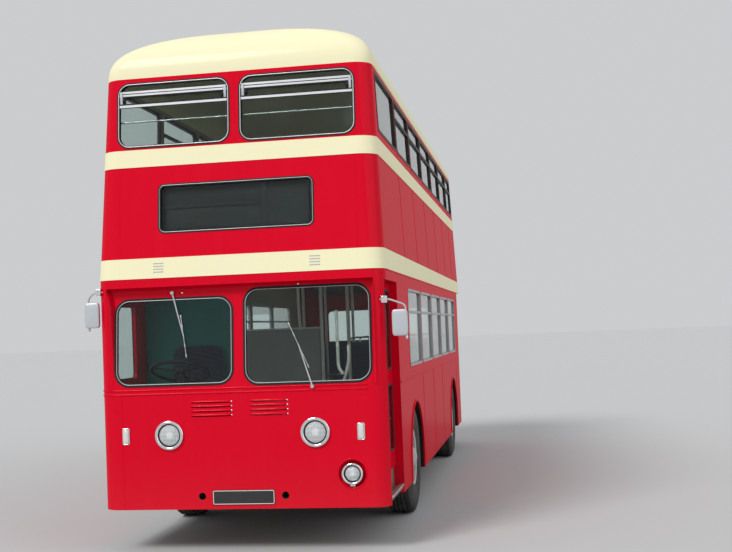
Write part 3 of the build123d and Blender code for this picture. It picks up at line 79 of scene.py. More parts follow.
# Lower and upper edge of the panels and bands that the cover strips cross
LOWER_PANEL = (0.375, 1.300)
LOWER_BAND = (2.275, 2.435)
UPPER_PANEL = (2.443, 3.209)
UPPER_BAND = (3.217, 3.358)
TOP_PANEL = (3.366, 3.425)
TOP_PANEL_FRONT = (3.366, 3.970)

# Openings of the front: left, right, bottom, top. The upper window on the offside mirrors the one given
WINDSCREENS = ((-1.075, -0.049, 1.371, 2.108), (0.031, 1.098, 1.358, 2.164))
UPPER_WINDOW = (0.037, 1.022, 3.391, 3.931)
DISPLAY = (-0.650, 0.650, 2.652, 3.046)

# Sign of X and the word that starts the bodies' names, for the two sides
SIDES = ((1, "nearside"), (-1, "offside"))


def front_y(z):
    """Y of the front wall at height z: upright below the deck line, leaning back above it."""
    return FRONT + FRONT_LEAN * np.maximum(0, z - DECK)


def screen_y(z):
    """Y of the set-in wall round the windscreens at height z: it leans back in a straight line."""
    return FRONT + SCREEN_DEPTH * (z - SCREEN_FOOT) / (SCREEN_HEAD - SCREEN_FOOT)


def side_x(z):
    """Distance of the side walls from the middle at height z."""
    return HALF - SIDE_LEAN * np.maximum(0, z - DECK)


def rear_y(z):
    """Y of the upper deck's rear wall at height z."""
    return UPPER_REAR - REAR_LEAN * (z - DECK)


def about(middle, half):
    """Two numbers at the same distance on either side of a middle."""
    return middle - half, middle + half


# Shapes: each is a closed shell, a pair of points and faces

def volume_under(a, b, c):
    """Six times the volume between the origin and triangles: the sum of a . (b x c)."""
    return np.einsum("ij,ij->", a, np.cross(b, c))


def turned_out(points, quads, caps):
    """Faces turned outwards: all are flipped where the volume under them is negative."""
    a, b, c, d = (points[quads[:, i]] for i in range(4))
    volume = volume_under(a, b, c) + volume_under(a, c, d)
    for cap in caps:
        ring = points[cap]
        volume += volume_under(np.repeat(ring[:1], len(ring) - 2, 0), ring[1:-1], ring[2:])
    faces = quads.tolist() + [cap.tolist() for cap in caps]
    return points, [face[::-1] for face in faces] if volume < 0 else faces


def lofted(rings, closed=False):
    """Rings of equally many points joined in order; flat ends, unless the last meets the first."""
    rings = np.asarray(rings, float)
    count, around = rings.shape[:2]
    index = np.arange(count * around).reshape(count, around)
    near, far = (index, np.roll(index, -1, 0)) if closed else (index[:-1], index[1:])
    quads = np.stack([near, np.roll(near, -1, 1), np.roll(far, -1, 1), far], -1).reshape(-1, 4)
    caps = [] if closed else [index[0][::-1], index[-1]]
    return turned_out(rings.reshape(-1, 3), quads, caps)


def spun(profile, centre, axis, count=48, closed=False, scale=None):
    """Profile of (radius, along) turned about an axis: each point runs round a circle of its radius.

    scale(angle, along, radius) may change the radius round the circle.
    """
    profile = np.asarray(profile, float)
    angle = np.linspace(0, 2 * np.pi, count, endpoint=False)
    radius = profile[:, :1] * np.ones(count)
    if scale is not None:
        radius = radius * scale(angle[None, :], profile[:, 1:2], radius)
    along = profile[:, 1:2] * np.ones(count)
    a, b = radius * np.cos(angle), radius * np.sin(angle)
    order = {"X": (along, a, b), "Y": (b, along, a), "Z": (a, b, along)}[axis]
    return lofted(np.stack(order, -1) + np.asarray(centre, float), closed)


def carried(section, path, normal, closed=False, taper=None):
    """Section of (across, out) carried along a path; across is square to the path and the normal.

    taper gives the section's size at each point of the path.
    """
    path, section = np.asarray(path, float), np.asarray(section, float)
    if closed:
        run = np.roll(path, -1, 0) - np.roll(path, 1, 0)
    else:
        run = np.gradient(path, axis=0)
    run /= np.linalg.norm(run, axis=1, keepdims=True)
    normal = np.broadcast_to(np.asarray(normal, float), path.shape)
    across = np.cross(run, normal)
    across /= np.linalg.norm(across, axis=1, keepdims=True)
    out = np.cross(across, run)
    size = np.ones(len(path)) if taper is None else taper
    rings = (path[:, None] + across[:, None] * section[None, :, :1] * size[:, None, None]
             + out[:, None] * section[None, :, 1:] * size[:, None, None])
    return lofted(rings, closed)


def circle(radius, count=10):
    """Points round a circle, as a section."""
    angle = np.linspace(0, 2 * np.pi, count, endpoint=False)
    return np.stack([radius * np.cos(angle), radius * np.sin(angle)], -1)


def half_round(width, height, count=7):
    """Half an ellipse on a flat base that lies just inside the wall."""
    angle = np.linspace(0, np.pi, count)
    return np.stack([width / 2 * np.cos(angle), height * np.sin(angle) - 0.0008], -1)


def bent(points, radius, steps=6):
    """Path through points: each inner corner is cut by a parabola that starts a radius before it."""
    points = np.asarray(points, float)
    path = [points[:1]]
    t = np.linspace(0, 1, steps)[:, None]
    for before, corner, after in zip(points[:-2], points[1:-1], points[2:]):
        start = corner + (before - corner) * min(0.49, radius / np.linalg.norm(before - corner))
        end = corner + (after - corner) * min(0.49, radius / np.linalg.norm(after - corner))
        path.append((1 - t) ** 2 * start + 2 * t * (1 - t) * corner + t ** 2 * end)
    path.append(points[-1:])
    return np.concatenate(path)


def rounded(a0, a1, b0, b1, radius, steps=7):
    """Closed outline of a rectangle with quarter circles at its corners, as two columns."""
    turn = np.linspace(0, np.pi / 2, steps)
    corners = ((a1 - radius, b1 - radius, 0), (a0 + radius, b1 - radius, 1),
               (a0 + radius, b0 + radius, 2), (a1 - radius, b0 + radius, 3))
    return np.concatenate([np.stack([a + radius * np.cos(turn + k * np.pi / 2),
                                     b + radius * np.sin(turn + k * np.pi / 2)], -1) for a, b, k in corners])


def stood_up(outline, y):
    """Outline of (x, z) stood up as a line in space; y is one number, or one for each point."""
    return np.column_stack([outline[:, 0], np.full(len(outline), y), outline[:, 1]])


def cube_shell(ticks):
    """Points and faces of a cube's surface, cut along the same ticks on all its faces."""
    n = len(ticks)
    u, v = np.meshgrid(ticks, ticks, indexing="ij")
    sides = []
    for axis in range(3):
        for end in (ticks[0], ticks[-1]):
            grid = np.empty((n, n, 3))
            grid[..., axis] = end
            grid[..., (axis + 1) % 3], grid[..., (axis + 2) % 3] = u, v
            sides.append(grid.reshape(-1, 3))
    cell = np.arange(n * n).reshape(n, n)
    quads = np.stack([cell[:-1, :-1], cell[1:, :-1], cell[1:, 1:], cell[:-1, 1:]], -1).reshape(-1, 4)
    faces = np.concatenate([(quads if side % 2 else quads[:, ::-1]) + side * n * n for side in range(6)])
    points, place = np.unique(np.round(np.concatenate(sides), 9), axis=0, return_inverse=True)
    return points, place.reshape(-1)[faces]


# Cuts of a cube's face along one side; a block opens between the two beside the middle
BALL_TICKS = (-1, -0.55, -0.25, -1e-4, 1e-4, 0.25, 0.55, 1)


def block(x, y, z, radius):
    """Block with rounded edges: a small ball, cut in eight and moved out to the block's corners."""
    points, faces = cube_shell(np.array(BALL_TICKS))
    low, high = np.array([x[0], y[0], z[0]], float), np.array([x[1], y[1], z[1]], float)
    ball = points / np.linalg.norm(points, axis=1, keepdims=True)
    points = (low + high) / 2 + np.sign(points) * ((high - low) / 2 - radius) + ball * radius
    return turned_out(points, faces, [])


# Width and dip of a pad's sewn seam, as shares of the pad's half width and half thickness
SEAM_WIDTH, SEAM_DIP = 0.035, 0.22


def pillow(low, high, power=5.0, crown=0.25, seams=(), cells=22):
    """Crowned pad: a cube pushed onto a rounder solid by its own power norm.

    Its top then swells by crown towards the middle, and each seam (a share of the width) dips.
    """
    ticks = np.sin(np.linspace(-1, 1, cells + 1) * np.pi / 2)
    points, faces = cube_shell(ticks)
    norm = np.sum(np.abs(points) ** power, axis=1, keepdims=True) ** (1 / power)
    points = points / norm
    swell = (1 - points[:, 0] ** 2).clip(0) * (1 - points[:, 1] ** 2).clip(0)
    dip = sum((np.exp(-((points[:, 0] - s) / SEAM_WIDTH) ** 2) for s in seams), np.zeros(len(points)))
    points[:, 2] *= 1 - crown + crown * swell - SEAM_DIP * dip * (swell > 0.02)
    low, high = np.asarray(low, float), np.asarray(high, float)
    return turned_out((low + high) / 2 + points * (high - low) / 2, faces, [])


def moved(shape, change):
    """The same shell with its points sent through a function of whole arrays."""
    points, faces = shape
    return turned_any(change(points), faces)


def turned_any(points, faces):
    """Faces of mixed length turned outwards: all are flipped where the volume under them is negative."""
    corners = np.array([[face[0], face[i], face[i + 1]] for face in faces for i in range(1, len(face) - 1)])
    flip = volume_under(*(points[corners[:, i]] for i in range(3))) < 0
    return points, [face[::-1] for face in faces] if flip else faces


# Edges that turn by more than this stay crisp
CRISP = math.radians(42)


def piece(name, shapes, finish, body="coachwork", replaces=()):
    """One mesh object of all the shells, at the origin, riding on its body."""
    points, faces, start = [], [], 0
    for shell_points, shell_faces in shapes:
        points.append(shell_points)
        faces += [[i + start for i in face] for face in shell_faces]
        start += len(shell_points)
    mesh = bpy.data.meshes.new(name)
    mesh.from_pydata(np.concatenate(points).tolist(), [], faces)
    mesh.polygons.foreach_set("use_smooth", [True] * len(mesh.polygons))
    mesh.set_sharp_from_angle(angle=CRISP)
    mesh.validate()
    obj = bpy.data.objects.new(name, mesh)
    bpy.context.scene.collection.objects.link(obj)
    mesh.materials.append(material_of(finish))
    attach(obj, body)
    if replaces:
        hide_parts(*replaces)
    return obj


# Finishes

class Wire:
    """A socket of a board; arithmetic on it adds Math nodes, with numbers on either side."""

    def __init__(self, board, socket):
        self.board, self.socket = board, socket

    def math(self, operation, first, second=0.0, clamp=False):
        settings = {"operation": operation, "use_clamp": clamp}
        return self.board.node("ShaderNodeMath", settings, {0: first, 1: second})

    def __add__(self, other):
        return self.math("ADD", self, other)

    def __sub__(self, other):
        return self.math("SUBTRACT", self, other)

    def __rsub__(self, other):
        return self.math("SUBTRACT", other, self)

    def __mul__(self, other):
        return self.math("MULTIPLY", self, other)

    def __pow__(self, other):
        return self.math("POWER", self, other)

    __radd__, __rmul__ = __add__, __mul__

    def clipped(self):
        """The value kept between 0 and 1."""
        return self.math("ADD", self, 0.0, True)

    def above(self, level):
        """One where the value is over the level, else nothing."""
        return self.math("GREATER_THAN", self, level)

    def at_least(self, other):
        """The greater of the two values."""
        return self.math("MAXIMUM", self, other)

    def size(self):
        """The value without its sign."""
        return self.math("ABSOLUTE", self)

    def wave(self, width):
        """Sine of the value, with crests a width apart."""
        return self.math("SINE", self * (2 * math.pi / width))


class Board:
    """The node tree of a material or a world; every node comes from one method."""

    def __init__(self, owner):
        owner.use_nodes = True
        self.tree = owner.node_tree
        self.tree.nodes.clear()

    def node(self, kind, settings=None, values=None, out=0):
        """Adds a node, sets its settings, then its sockets' values or links, and gives one output."""
        made = self.tree.nodes.new(kind)
        for key, value in (settings or {}).items():
            setattr(made, key, value)
        for key, value in (values or {}).items():
            if isinstance(value, Wire):
                self.tree.links.new(value.socket, made.inputs[key])
            else:
                made.inputs[key].default_value = value
        return Wire(self, made.outputs[out]) if made.outputs else None


class Finish(Board):
    """One material, with the place on the object as x, y and z."""

    # Colour sockets of a Mix node: the two that go in, and the one that comes out
    MIX_FIRST, MIX_SECOND, MIX_RESULT = 6, 7, 2
    SOCKETS = {"colour": "Base Color", "rough": "Roughness", "metal": "Metallic", "normal": "Normal",
               "coat": "Coat Weight", "coat_rough": "Coat Roughness", "through": "Transmission Weight",
               "ior": "IOR", "alpha": "Alpha", "sheen": "Sheen Weight", "specular": "Specular IOR Level"}

    def __init__(self, name):
        self.material = bpy.data.materials.new(name)
        super().__init__(self.material)
        self.place = self.node("ShaderNodeTexCoord", out="Object")
        parts = self.node("ShaderNodeSeparateXYZ", {}, {0: self.place}).socket.node.outputs
        self.x, self.y, self.z = (Wire(self, parts[i]) for i in range(3))

    def stretched(self, x, y, z):
        """The place on the object, scaled along each axis."""
        return self.node("ShaderNodeMapping", {}, {"Vector": self.place, "Scale": (x, y, z)})

    def noise(self, scale, detail=3.0, place=None):
        """Cloudy value between 0 and 1."""
        values = {"Vector": place or self.place, "Scale": scale, "Detail": detail}
        return self.node("ShaderNodeTexNoise", {}, values)

    def mix(self, factor, first, second):
        """Colour that goes from the first to the second."""
        values = {0: factor, self.MIX_FIRST: first, self.MIX_SECOND: second}
        return self.node("ShaderNodeMix", {"data_type": "RGBA"}, values, self.MIX_RESULT)

    def within(self, value, low, high):
        """One where the value lies between two levels, else nothing."""
        return value.above(low) * (1 - value.above(high))

    def from_axle(self, height):
        """Distance from the nearer axle's line, put at the given height: the root of the summed squares."""
        away = (self.y - (AXLES[0] + AXLES[1]) / 2).size() - (AXLES[1] - AXLES[0]) / 2
        return (away * away + (self.z - height) * (self.z - height)) ** 0.5

    def bump(self, height, distance):
        """Normal of a surface that rises by the height times the distance."""
        return self.node("ShaderNodeBump", {}, {"Height": height, "Distance": distance, "Strength": 1.0})

    def done(self, **values):
        """Joins the values to a Principled shader and returns the material."""
        named = {self.SOCKETS[key]: value for key, value in values.items()}
        surface = self.node("ShaderNodeBsdfPrincipled", {}, named)
        self.node("ShaderNodeOutputMaterial", {}, {0: surface})
        return self.material


def rgb(colour, factor=1.0):
    """Four numbers of a colour, dimmed by a factor."""
    return (colour[0] * factor, colour[1] * factor, colour[2] * factor, 1.0)


def settings():
    """Colours and dust that a user may change."""
    return bpy.context.scene.bus_finish


# Colours of the road dust, the saloons' lining and the wheel arches, whose near black is painted shade over
# road dirt, and how high the dust film reaches
DUST, LINING, ARCH_SHADE_AND_DIRT = (0.30, 0.25, 0.19), (0.47, 0.45, 0.36), (0.022, 0.020, 0.019)
DUST_TOP = 0.95

# Where the cab ends along the bus, and the saloons' side lining starts
CAB_END = -3.4


def gloss_paint(name, colour, film, tone=0.14, inside=None):
    """Coach enamel: slight change of tone, orange peel, rain streaks and a film of dust low down.

    inside(finish, colour) may change the colour on the faces that look into the bus.
    """
    f = Finish(name)
    cloud = f.noise(0.9, 4)
    streak = f.noise(3.0, 5, f.stretched(5, 5, 0.35))
    speck = f.noise(60, 4)
    low = ((DUST_TOP - f.z) * 1.5).clipped()
    dirt = (low * low * (0.25 + 0.75 * speck) * film + (streak - 0.52).clipped() * 0.7 * film).clipped()
    base = f.mix(cloud * tone, rgb(colour), rgb(colour, 0.72))
    base = f.mix(dirt, base, rgb(DUST))
    if inside:
        base = inside(f, base)
    peel = f.noise(160, 1)
    return f.done(colour=base, rough=0.20 + 0.3 * dirt + 0.06 * speck, specular=0.0, coat=0.20,
                  coat_rough=0.13, normal=f.bump(peel + 4 * cloud, 0.00012))


def inner_faces(f, base):
    """Wheel arches near black with painted shade over their road dirt, and pale lining on the inner faces of
    the side walls and the upper rear wall.

    A face is an inner one where it lies deeper than the skin: depth is measured in from the leaning side,
    and behind from the leaning rear wall. The lining keeps off the corners, where both run together.
    """
    up = (f.z - DECK).at_least(0.0)
    depth = HALF - SIDE_LEAN * up - f.x.size()
    behind = UPPER_REAR - REAR_LEAN * up - f.y
    upstairs = f.z.above(DECK + 0.03)
    saloons = f.within(f.y, CAB_END, LOWER_REAR - 0.132) * f.z.above(LOWER_FLOOR)
    upper_front = f.within(f.y, FRONT + 0.36, CAB_END) * upstairs
    sides = depth.above(0.020) * (saloons + upper_front).clipped()
    rear = f.within(behind, 0.024, 0.16) * depth.above(0.18) * upstairs
    # painted shade: the faces inside the wheel arches turn near black, standing in for the shade there as
    # well as their road dirt
    arches = depth.above(0.008) * (1 - f.from_axle(ARCH_Z).above(0.64))
    return f.mix(arches, f.mix((sides + rear).clipped(), base, rgb(LINING)), rgb(ARCH_SHADE_AND_DIRT))


def make_red():
    """Red enamel of the panels, with the inner faces' lining."""
    return gloss_paint("coach_red", settings().red, settings().film, inside=inner_faces)


def make_cream():
    """Cream enamel of the roof and bands, evener in tone and less dusty than the red."""
    return gloss_paint("coach_cream", settings().cream, settings().film * 0.8, 0.10)


def worn(name, clean, marked, share, cloud, rough, rougher=0.0, grain=None, rise=0.0, **more):
    """Surface on which a cloud of wear turns the clean colour to the marked one and adds to the roughness.

    cloud and grain are each a noise's scale and detail; the grain is the bump, as deep as rise.
    """
    f = Finish(name)
    wear = f.noise(*cloud)
    if grain:
        more["normal"] = f.bump(f.noise(*grain), rise)
    return f.done(colour=f.mix(wear * share, rgb(clean), rgb(marked)), rough=wear * rougher + rough, **more)


def make_glass():
    """Window glass: clear and slightly green, with a faint film of dust."""
    f = Finish("window_glass")
    film = f.noise(5, 5, f.stretched(1, 1, 0.5))
    return f.done(colour=f.mix(film * 0.5, (0.80, 0.88, 0.86, 1), (0.66, 0.74, 0.72, 1)),
                  rough=0.015 + 0.05 * (film - 0.45).clipped(), through=1.0, ior=1.28)


def brushed(name, colour, rough, along=(2, 60, 60)):
    """Metal with fine scratches along one axis and dull patches."""
    f = Finish(name)
    scratch = f.noise(14, 3, f.stretched(*along))
    patch = f.noise(6, 5)
    return f.done(colour=f.mix(patch * 0.5, rgb(colour), rgb(colour, 0.7)), metal=1.0,
                  rough=rough + 0.2 * scratch * patch, normal=f.bump(scratch, 0.00015))


def make_frames():
    """Side window frames: satin aluminium on the lower deck and the front, dark above."""
    f = Finish("window_frames")
    scratch = f.noise(14, 3, f.stretched(60, 2, 60))
    patch = f.noise(6, 5)
    upper = f.z.above(3.0) * f.y.above(-4.2)
    base = f.mix(patch * 0.5, (0.50, 0.51, 0.52, 1), (0.34, 0.35, 0.36, 1))
    base = f.mix(upper, base, (0.025, 0.022, 0.022, 1))
    return f.done(colour=base, metal=1 - upper, rough=0.46 + 0.2 * scratch * patch,
                  normal=f.bump(scratch, 0.00015))


def make_chrome():
    """Chrome with fine brown pits."""
    f = Finish("chrome")
    pit = f.noise(90, 5)
    pitted = (pit - 0.5).clipped()
    return f.done(colour=f.mix(pitted, (0.80, 0.81, 0.83, 1), (0.45, 0.42, 0.38, 1)), metal=1.0,
                  rough=0.06 + 0.3 * pitted, normal=f.bump(pit, 0.0001))


def make_lens():
    """Clear lamp glass with upright ribs pressed inside it."""
    f = Finish("lens_glass")
    ribs = f.x.wave(0.012) * 0.7 + f.z.wave(0.036) * 0.3
    film = f.noise(25, 3)
    return f.done(colour=f.mix(film * 0.3, (0.90, 0.93, 0.93, 1), (0.76, 0.79, 0.78, 1)),
                  rough=0.06 + 0.08 * film, alpha=0.30 + 0.22 * ribs.clipped(), normal=f.bump(ribs, 0.0009))


def coloured_lens(name, colour):
    """Coloured plastic lens with a fine waffle pattern."""
    f = Finish(name)
    waffle = f.x.wave(0.008) * f.z.wave(0.008)
    film = f.noise(30, 4)
    return f.done(colour=f.mix(film * 0.4, rgb(colour), rgb(colour, 0.6)), rough=0.12 + 0.1 * film, coat=0.6,
                  normal=f.bump(waffle, 0.0006))


def make_tyre():
    """Tyre rubber: rings pressed on its walls, fine grain, dust in the grooves and on the walls."""
    f = Finish("tyre_rubber")
    radius = f.from_axle(WHEEL_Z)
    rings = radius.wave(0.021) * (0.475 - radius).clipped() * 8
    grain = f.noise(300, 3)
    dust = (f.noise(9, 5) - 0.32).clipped()
    return f.done(colour=f.mix(dust, (0.020, 0.020, 0.021, 1), (0.17, 0.15, 0.125, 1)),
                  rough=0.72 + 0.2 * dust, normal=f.bump(rings + grain * 0.5, 0.0012))


def make_wheel():
    """Pale grey wheel enamel with brake dust and a little rust."""
    f = Finish("wheel_grey")
    grime = f.noise(11, 6)
    rust = (f.noise(38, 5) - 0.62).clipped() * 4
    base = f.mix(grime * 0.7, (0.56, 0.57, 0.56, 1), (0.27, 0.25, 0.22, 1))
    return f.done(colour=f.mix(rust, base, (0.18, 0.07, 0.03, 1)), rough=0.36 + 0.3 * grime,
                  normal=f.bump(grime + rust, 0.0005))


def make_chassis():
    """Black chassis paint under road dust."""
    f = Finish("chassis_black")
    dust = (f.noise(4, 6) * 1.3 - 0.3).clipped()
    lump = f.noise(70, 4)
    return f.done(colour=f.mix(dust, (0.020, 0.020, 0.021, 1), (0.13, 0.11, 0.09, 1)), rough=0.5 + 0.3 * dust,
                  normal=f.bump(lump, 0.0012))


def make_floor():
    """Brown linoleum with light flecks and slats above; the undersides are cream ceiling."""
    f = Finish("floor_brown")
    fleck = f.noise(260, 2).above(0.62)
    worn = f.noise(2.2, 5)
    top = f.mix(fleck * 0.5, (0.16, 0.11, 0.075, 1), (0.42, 0.34, 0.25, 1))
    top = f.mix(worn * 0.4, top, (0.24, 0.2, 0.15, 1))
    ceiling = f.z.above(2.4) * (1 - f.z.above(2.52))
    rib = f.y.wave(0.055) * (1 - ceiling)
    return f.done(colour=f.mix(ceiling, top, (0.72, 0.67, 0.54, 1)), rough=0.5 + 0.2 * worn,
                  normal=f.bump(rib, 0.0006))


def make_moquette():
    """Blue-grey moquette: short pile with crossed flecks of two blues, and a soft sheen."""
    f = Finish("seat_moquette")
    weave = f.x.wave(0.0035) * f.y.wave(0.0035) + f.z.wave(0.0035)
    fleck = (f.x + f.z).wave(0.045) * (f.x - f.y).wave(0.06)
    pile = f.noise(900, 2)
    base = f.mix((fleck * 0.8).clipped(), (0.022, 0.038, 0.115, 1), (0.085, 0.15, 0.31, 1))
    base = f.mix(pile * 0.5, base, (0.02, 0.02, 0.045, 1))
    return f.done(colour=base, rough=0.9, sheen=0.35, normal=f.bump(weave + pile, 0.0012))


def interior_paint(name, colour):
    """Satin paint inside the bus, rubbed and marked by use."""
    return worn(name, colour, rgb(colour, 0.55), 0.35, (3.5, 6), 0.38, 0.25, (220, 2), 0.0004)


def make_cab_green():
    """Green behind the driver, and a grey laminate on the low partition."""
    f = Finish("cab_green")
    rub = f.noise(3.5, 6)
    peel = f.noise(220, 2)
    grey = f.x.above(-0.30)
    base = f.mix(grey, (0.012, 0.26, 0.24, 1), (0.30, 0.30, 0.29, 1))
    return f.done(colour=f.mix(rub * 0.25, base, (0.05, 0.09, 0.09, 1)), rough=0.4 + 0.2 * rub,
                  normal=f.bump(peel, 0.0004))


def make_dash():
    """Black crackle finish of the dash and the steering wheel."""
    f = Finish("dash_black")
    cell = f.node("ShaderNodeTexVoronoi", {}, {"Vector": f.place, "Scale": 330.0})
    worn = f.noise(9, 4)
    return f.done(colour=f.mix(worn * 0.4, (0.007, 0.007, 0.008, 1), (0.03, 0.03, 0.03, 1)),
                  rough=0.4 + 0.2 * worn, normal=f.bump(cell, 0.0006))


def make_blind():
    """Black blind cloth with faint creases."""
    f = Finish("blind_cloth")
    crease = f.noise(9, 4, f.stretched(0.6, 1, 6))
    thread = f.x.wave(0.0018) * f.z.wave(0.0018)
    return f.done(colour=f.mix(crease * 0.5, (0.012, 0.013, 0.014, 1), (0.034, 0.036, 0.038, 1)), rough=0.6,
                  normal=f.bump(crease + thread * 0.1, 0.002))


MAKERS = {
    "red": make_red, "cream": make_cream, "glass": make_glass, "frames": make_frames,
    "chrome": make_chrome, "lens": make_lens, "tyre": make_tyre, "wheel": make_wheel,
    "chassis": make_chassis, "floor": make_floor, "moquette": make_moquette, "cab_green": make_cab_green,
    "dash": make_dash, "blind": make_blind,
    # Black window rubber with worn grey patches
    "rubber": partial(worn, "window_rubber", (0.006, 0.006, 0.007), (0.022, 0.021, 0.02), 0.6, (7, 4),
                      0.5, 0.2, (420, 2), 0.0004, specular=0.25),
    # Silver enamel on the mirror heads and stays, and the mirror glass under a faint film
    "silver": partial(worn, "mirror_silver", (0.56, 0.59, 0.62), (0.40, 0.42, 0.44), 0.4, (9, 4),
                      0.32, 0.15, (500, 2), 0.0001, metal=0.35),
    "looking_glass": partial(worn, "looking_glass", (0.92, 0.93, 0.94), (0.75, 0.76, 0.78), 0.2, (30, 4),
                             0.02, 0.04, metal=1.0),
    # Cast iron of the engine under oil
    "iron": partial(worn, "engine_iron", (0.10, 0.13, 0.12), (0.035, 0.03, 0.025), 1.0, (6, 5),
                    0.55, 0.0, (140, 4), 0.0015, metal=0.3),
    # White enamel with yellow stains, and the frosted bulb inside a lamp
    "white": partial(worn, "edge_white", (0.78, 0.77, 0.73), (0.5, 0.47, 0.4), 0.4, (12, 5), 0.3, 0.2),
    "bulb": partial(worn, "bulb_glass", (0.9, 0.9, 0.86), (0.7, 0.7, 0.64), 0.3, (200, 3), 0.4, coat=0.5),
    # Metal of the beads and edges, and of the wipers, which is brushed along their arms
    "aluminium": partial(brushed, "bright_aluminium", (0.58, 0.59, 0.60), 0.34),
    "steel": partial(brushed, "wiper_steel", (0.62, 0.63, 0.64), 0.22, (50, 50, 3)),
    # Plastic of the rear lamps, the rear flashers and the side lamps
    "red_lens": partial(coloured_lens, "lens_red", (0.50, 0.012, 0.01)),
    "amber_lens": partial(coloured_lens, "lens_amber", (0.85, 0.26, 0.02)),
    "pale_lens": partial(coloured_lens, "lens_pale", (0.74, 0.73, 0.68)),
    # Paint of the staircase and of the handrails
    "inside_cream": partial(interior_paint, "inside_cream", (0.62, 0.58, 0.45)),
    "rail": partial(interior_paint, "rail_white", (0.78, 0.77, 0.72)),
}


@cache
def material_of(finish):
    """Material of a finish, made at its first use."""
    return MAKERS[finish]()


# Finish of each CAD node that shows
NODE_FINISH = {
    "red": ("upper_sides", "lower_sides", "upper_front_panel", "windscreen_surround", "front_apron",
            "upper_rear_panel", "lower_rear_panel", "emergency_door", "engine_housing", "engine_cover",
            "rear_door_leaf", "front_door_leaf", "cab_door"),
    "cream": ("cream_bands", "roof_dome"),
    "rubber": ("front_gaskets",),
    "glass": ("side_windows", "end_windows", "emergency_door_glass", "rear_door_leaf_glass",
              "front_door_leaf_glass", "cab_door_glass"),
    "frames": ("window_frames",),
    "chrome": ("front_lamps",),
    "silver": ("mirrors",),
    "lens": ("lamp_lenses",),
    "red_lens": ("rear_lamps",),
    "tyre": ("nearside_front_tyre", "offside_front_tyre", "nearside_rear_tyres", "offside_rear_tyres"),
    "wheel": ("nearside_front_rim", "offside_front_rim", "nearside_rear_rims", "offside_rear_rims"),
    "chassis": ("chassis_frame", "outriggers_and_tank", "front_axle_beam", "rear_axle", "nearside_knuckle",
                "offside_knuckle"),
    "floor": ("lower_floor", "entrance_platform", "upper_floor", "wheel_boxes"),
    "moquette": ("seat_cushions", "seat_backs"),
    "cab_green": ("cab_bulkhead",),
    "inside_cream": ("staircase",),
    "dash": ("dash", "steering_wheel"),
    "rail": ("grab_rails",),
    "iron": ("engine_block",),
    "blind": ("blank_signs",),
    "steel": ("offside_wiper", "nearside_wiper"),
}


# Sizes and colours that a user may change

class BusSizes(bpy.types.PropertyGroup):
    """Sizes of the trim."""
    tread_depth: bpy.props.FloatProperty(
        name="Tread depth", description="Depth of the grooves in the tyres",
        default=0.013, min=0.0, max=0.025, unit="LENGTH")
    bead: bpy.props.FloatProperty(
        name="Window bead", description="Radius of the bright bead round the front windows",
        default=0.0045, min=0.002, max=0.012, unit="LENGTH")
    strip: bpy.props.FloatProperty(
        name="Cover strip", description="Width of the strips over the panel joints",
        default=0.022, min=0.01, max=0.05, unit="LENGTH")
    crown: bpy.props.FloatProperty(
        name="Seat crown", description="Share by which the seats swell in the middle",
        default=0.26, min=0.0, max=0.5)


class BusFinish(bpy.types.PropertyGroup):
    """Colours of the coachwork and how dusty it is."""
    red: bpy.props.FloatVectorProperty(
        name="Red", description="Colour of the main panels", subtype="COLOR",
        default=(0.68, 0.0010, 0.018), min=0.0, max=1.0)
    cream: bpy.props.FloatVectorProperty(
        name="Cream", description="Colour of the roof and the bands", subtype="COLOR",
        default=(0.90, 0.84, 0.55), min=0.0, max=1.0)
    film: bpy.props.FloatProperty(
        name="Road film", description="How much dust lies on the lower panels", subtype="FACTOR",
        default=0.06, min=0.0, max=1.0)


def sizes():
    """Sizes that a user may change."""
    return bpy.context.scene.bus_sizes


class BusOperator:
    """What every step shares: it runs once and reports that it is done."""
    bl_options = {"REGISTER", "UNDO"}

    def execute(self, context):
        self.make()
        return {"FINISHED"}


# Rounded wall of a tyre, from its bead out to the tread: radius, place across
TYRE_WALL = [(0.268, 0.100), (0.300, 0.122), (0.345, 0.134), (0.395, 0.139), (0.440, 0.136), (0.475, 0.126),
             (0.498, 0.117), (0.512, 0.110), (0.520, 0.101)]
TYRE_FOOT = [(0.262, -0.080), (0.262, 0.080)]
TREAD_HALF = 0.096
GROOVES, GROOVE_HALF = (-0.060, -0.020, 0.020, 0.060), 0.0055
LUGS = 60


class BUS_OT_tyres(BusOperator, bpy.types.Operator):
    """Tyres with grooved treads and rounded walls, turned about each axle"""
    bl_idname = "bus.tyres"
    bl_label = "Tyres"

    def make(self):
        """Radius is a rounded wall up to the crown, less grooves round it and lugs at its shoulders."""
        depth = sizes().tread_depth
        across = np.linspace(TREAD_HALF, -TREAD_HALF, 49)
        grooved = sum(np.abs(across - middle) < GROOVE_HALF for middle in GROOVES)
        crown = WHEEL_Z - 0.35 * across ** 2 - depth * grooved
        loop = TYRE_WALL + list(zip(crown, across)) + [(r, -a) for r, a in reversed(TYRE_WALL)] + TYRE_FOOT

        def lugs(angle, along, radius):
            """Slanting cuts at the shoulders, where a wave round the tyre stands high."""
            shoulder = (np.abs(along) > 0.068) & (radius > 0.485)
            cut = np.sin(angle * LUGS + along * 90) > 0.45
            return 1 - shoulder * cut * (depth * 0.75 / 0.52)

        for side, word in SIDES:
            front = [spun(loop, (side * WHEEL_X, AXLES[0], WHEEL_Z), "X", 360, True, lugs)]
            piece(word + "_front_tyre_tread", front, "tyre", word + "_front_wheel",
                  [word + "_front_tyre"])
            rear = [spun(loop, (side * x, AXLES[1], WHEEL_Z), "X", 360, True, lugs)
                    for x in (WHEEL_X, WHEEL_X - TWIN)]
            piece(word + "_rear_tyre_treads", rear, "tyre", word + "_rear_wheel",
                  [word + "_rear_tyres"])


# Hubs: the wheel, its axle, the nuts' seat out from the wheel's middle, ring of the nuts, the cap's place
# and radius
HUBS = (("front", AXLES[0], 0.059, 0.146, 0.093, 0.098), ("rear", AXLES[1], -0.063, 0.130, -0.010, 0.092))
NUTS = 10
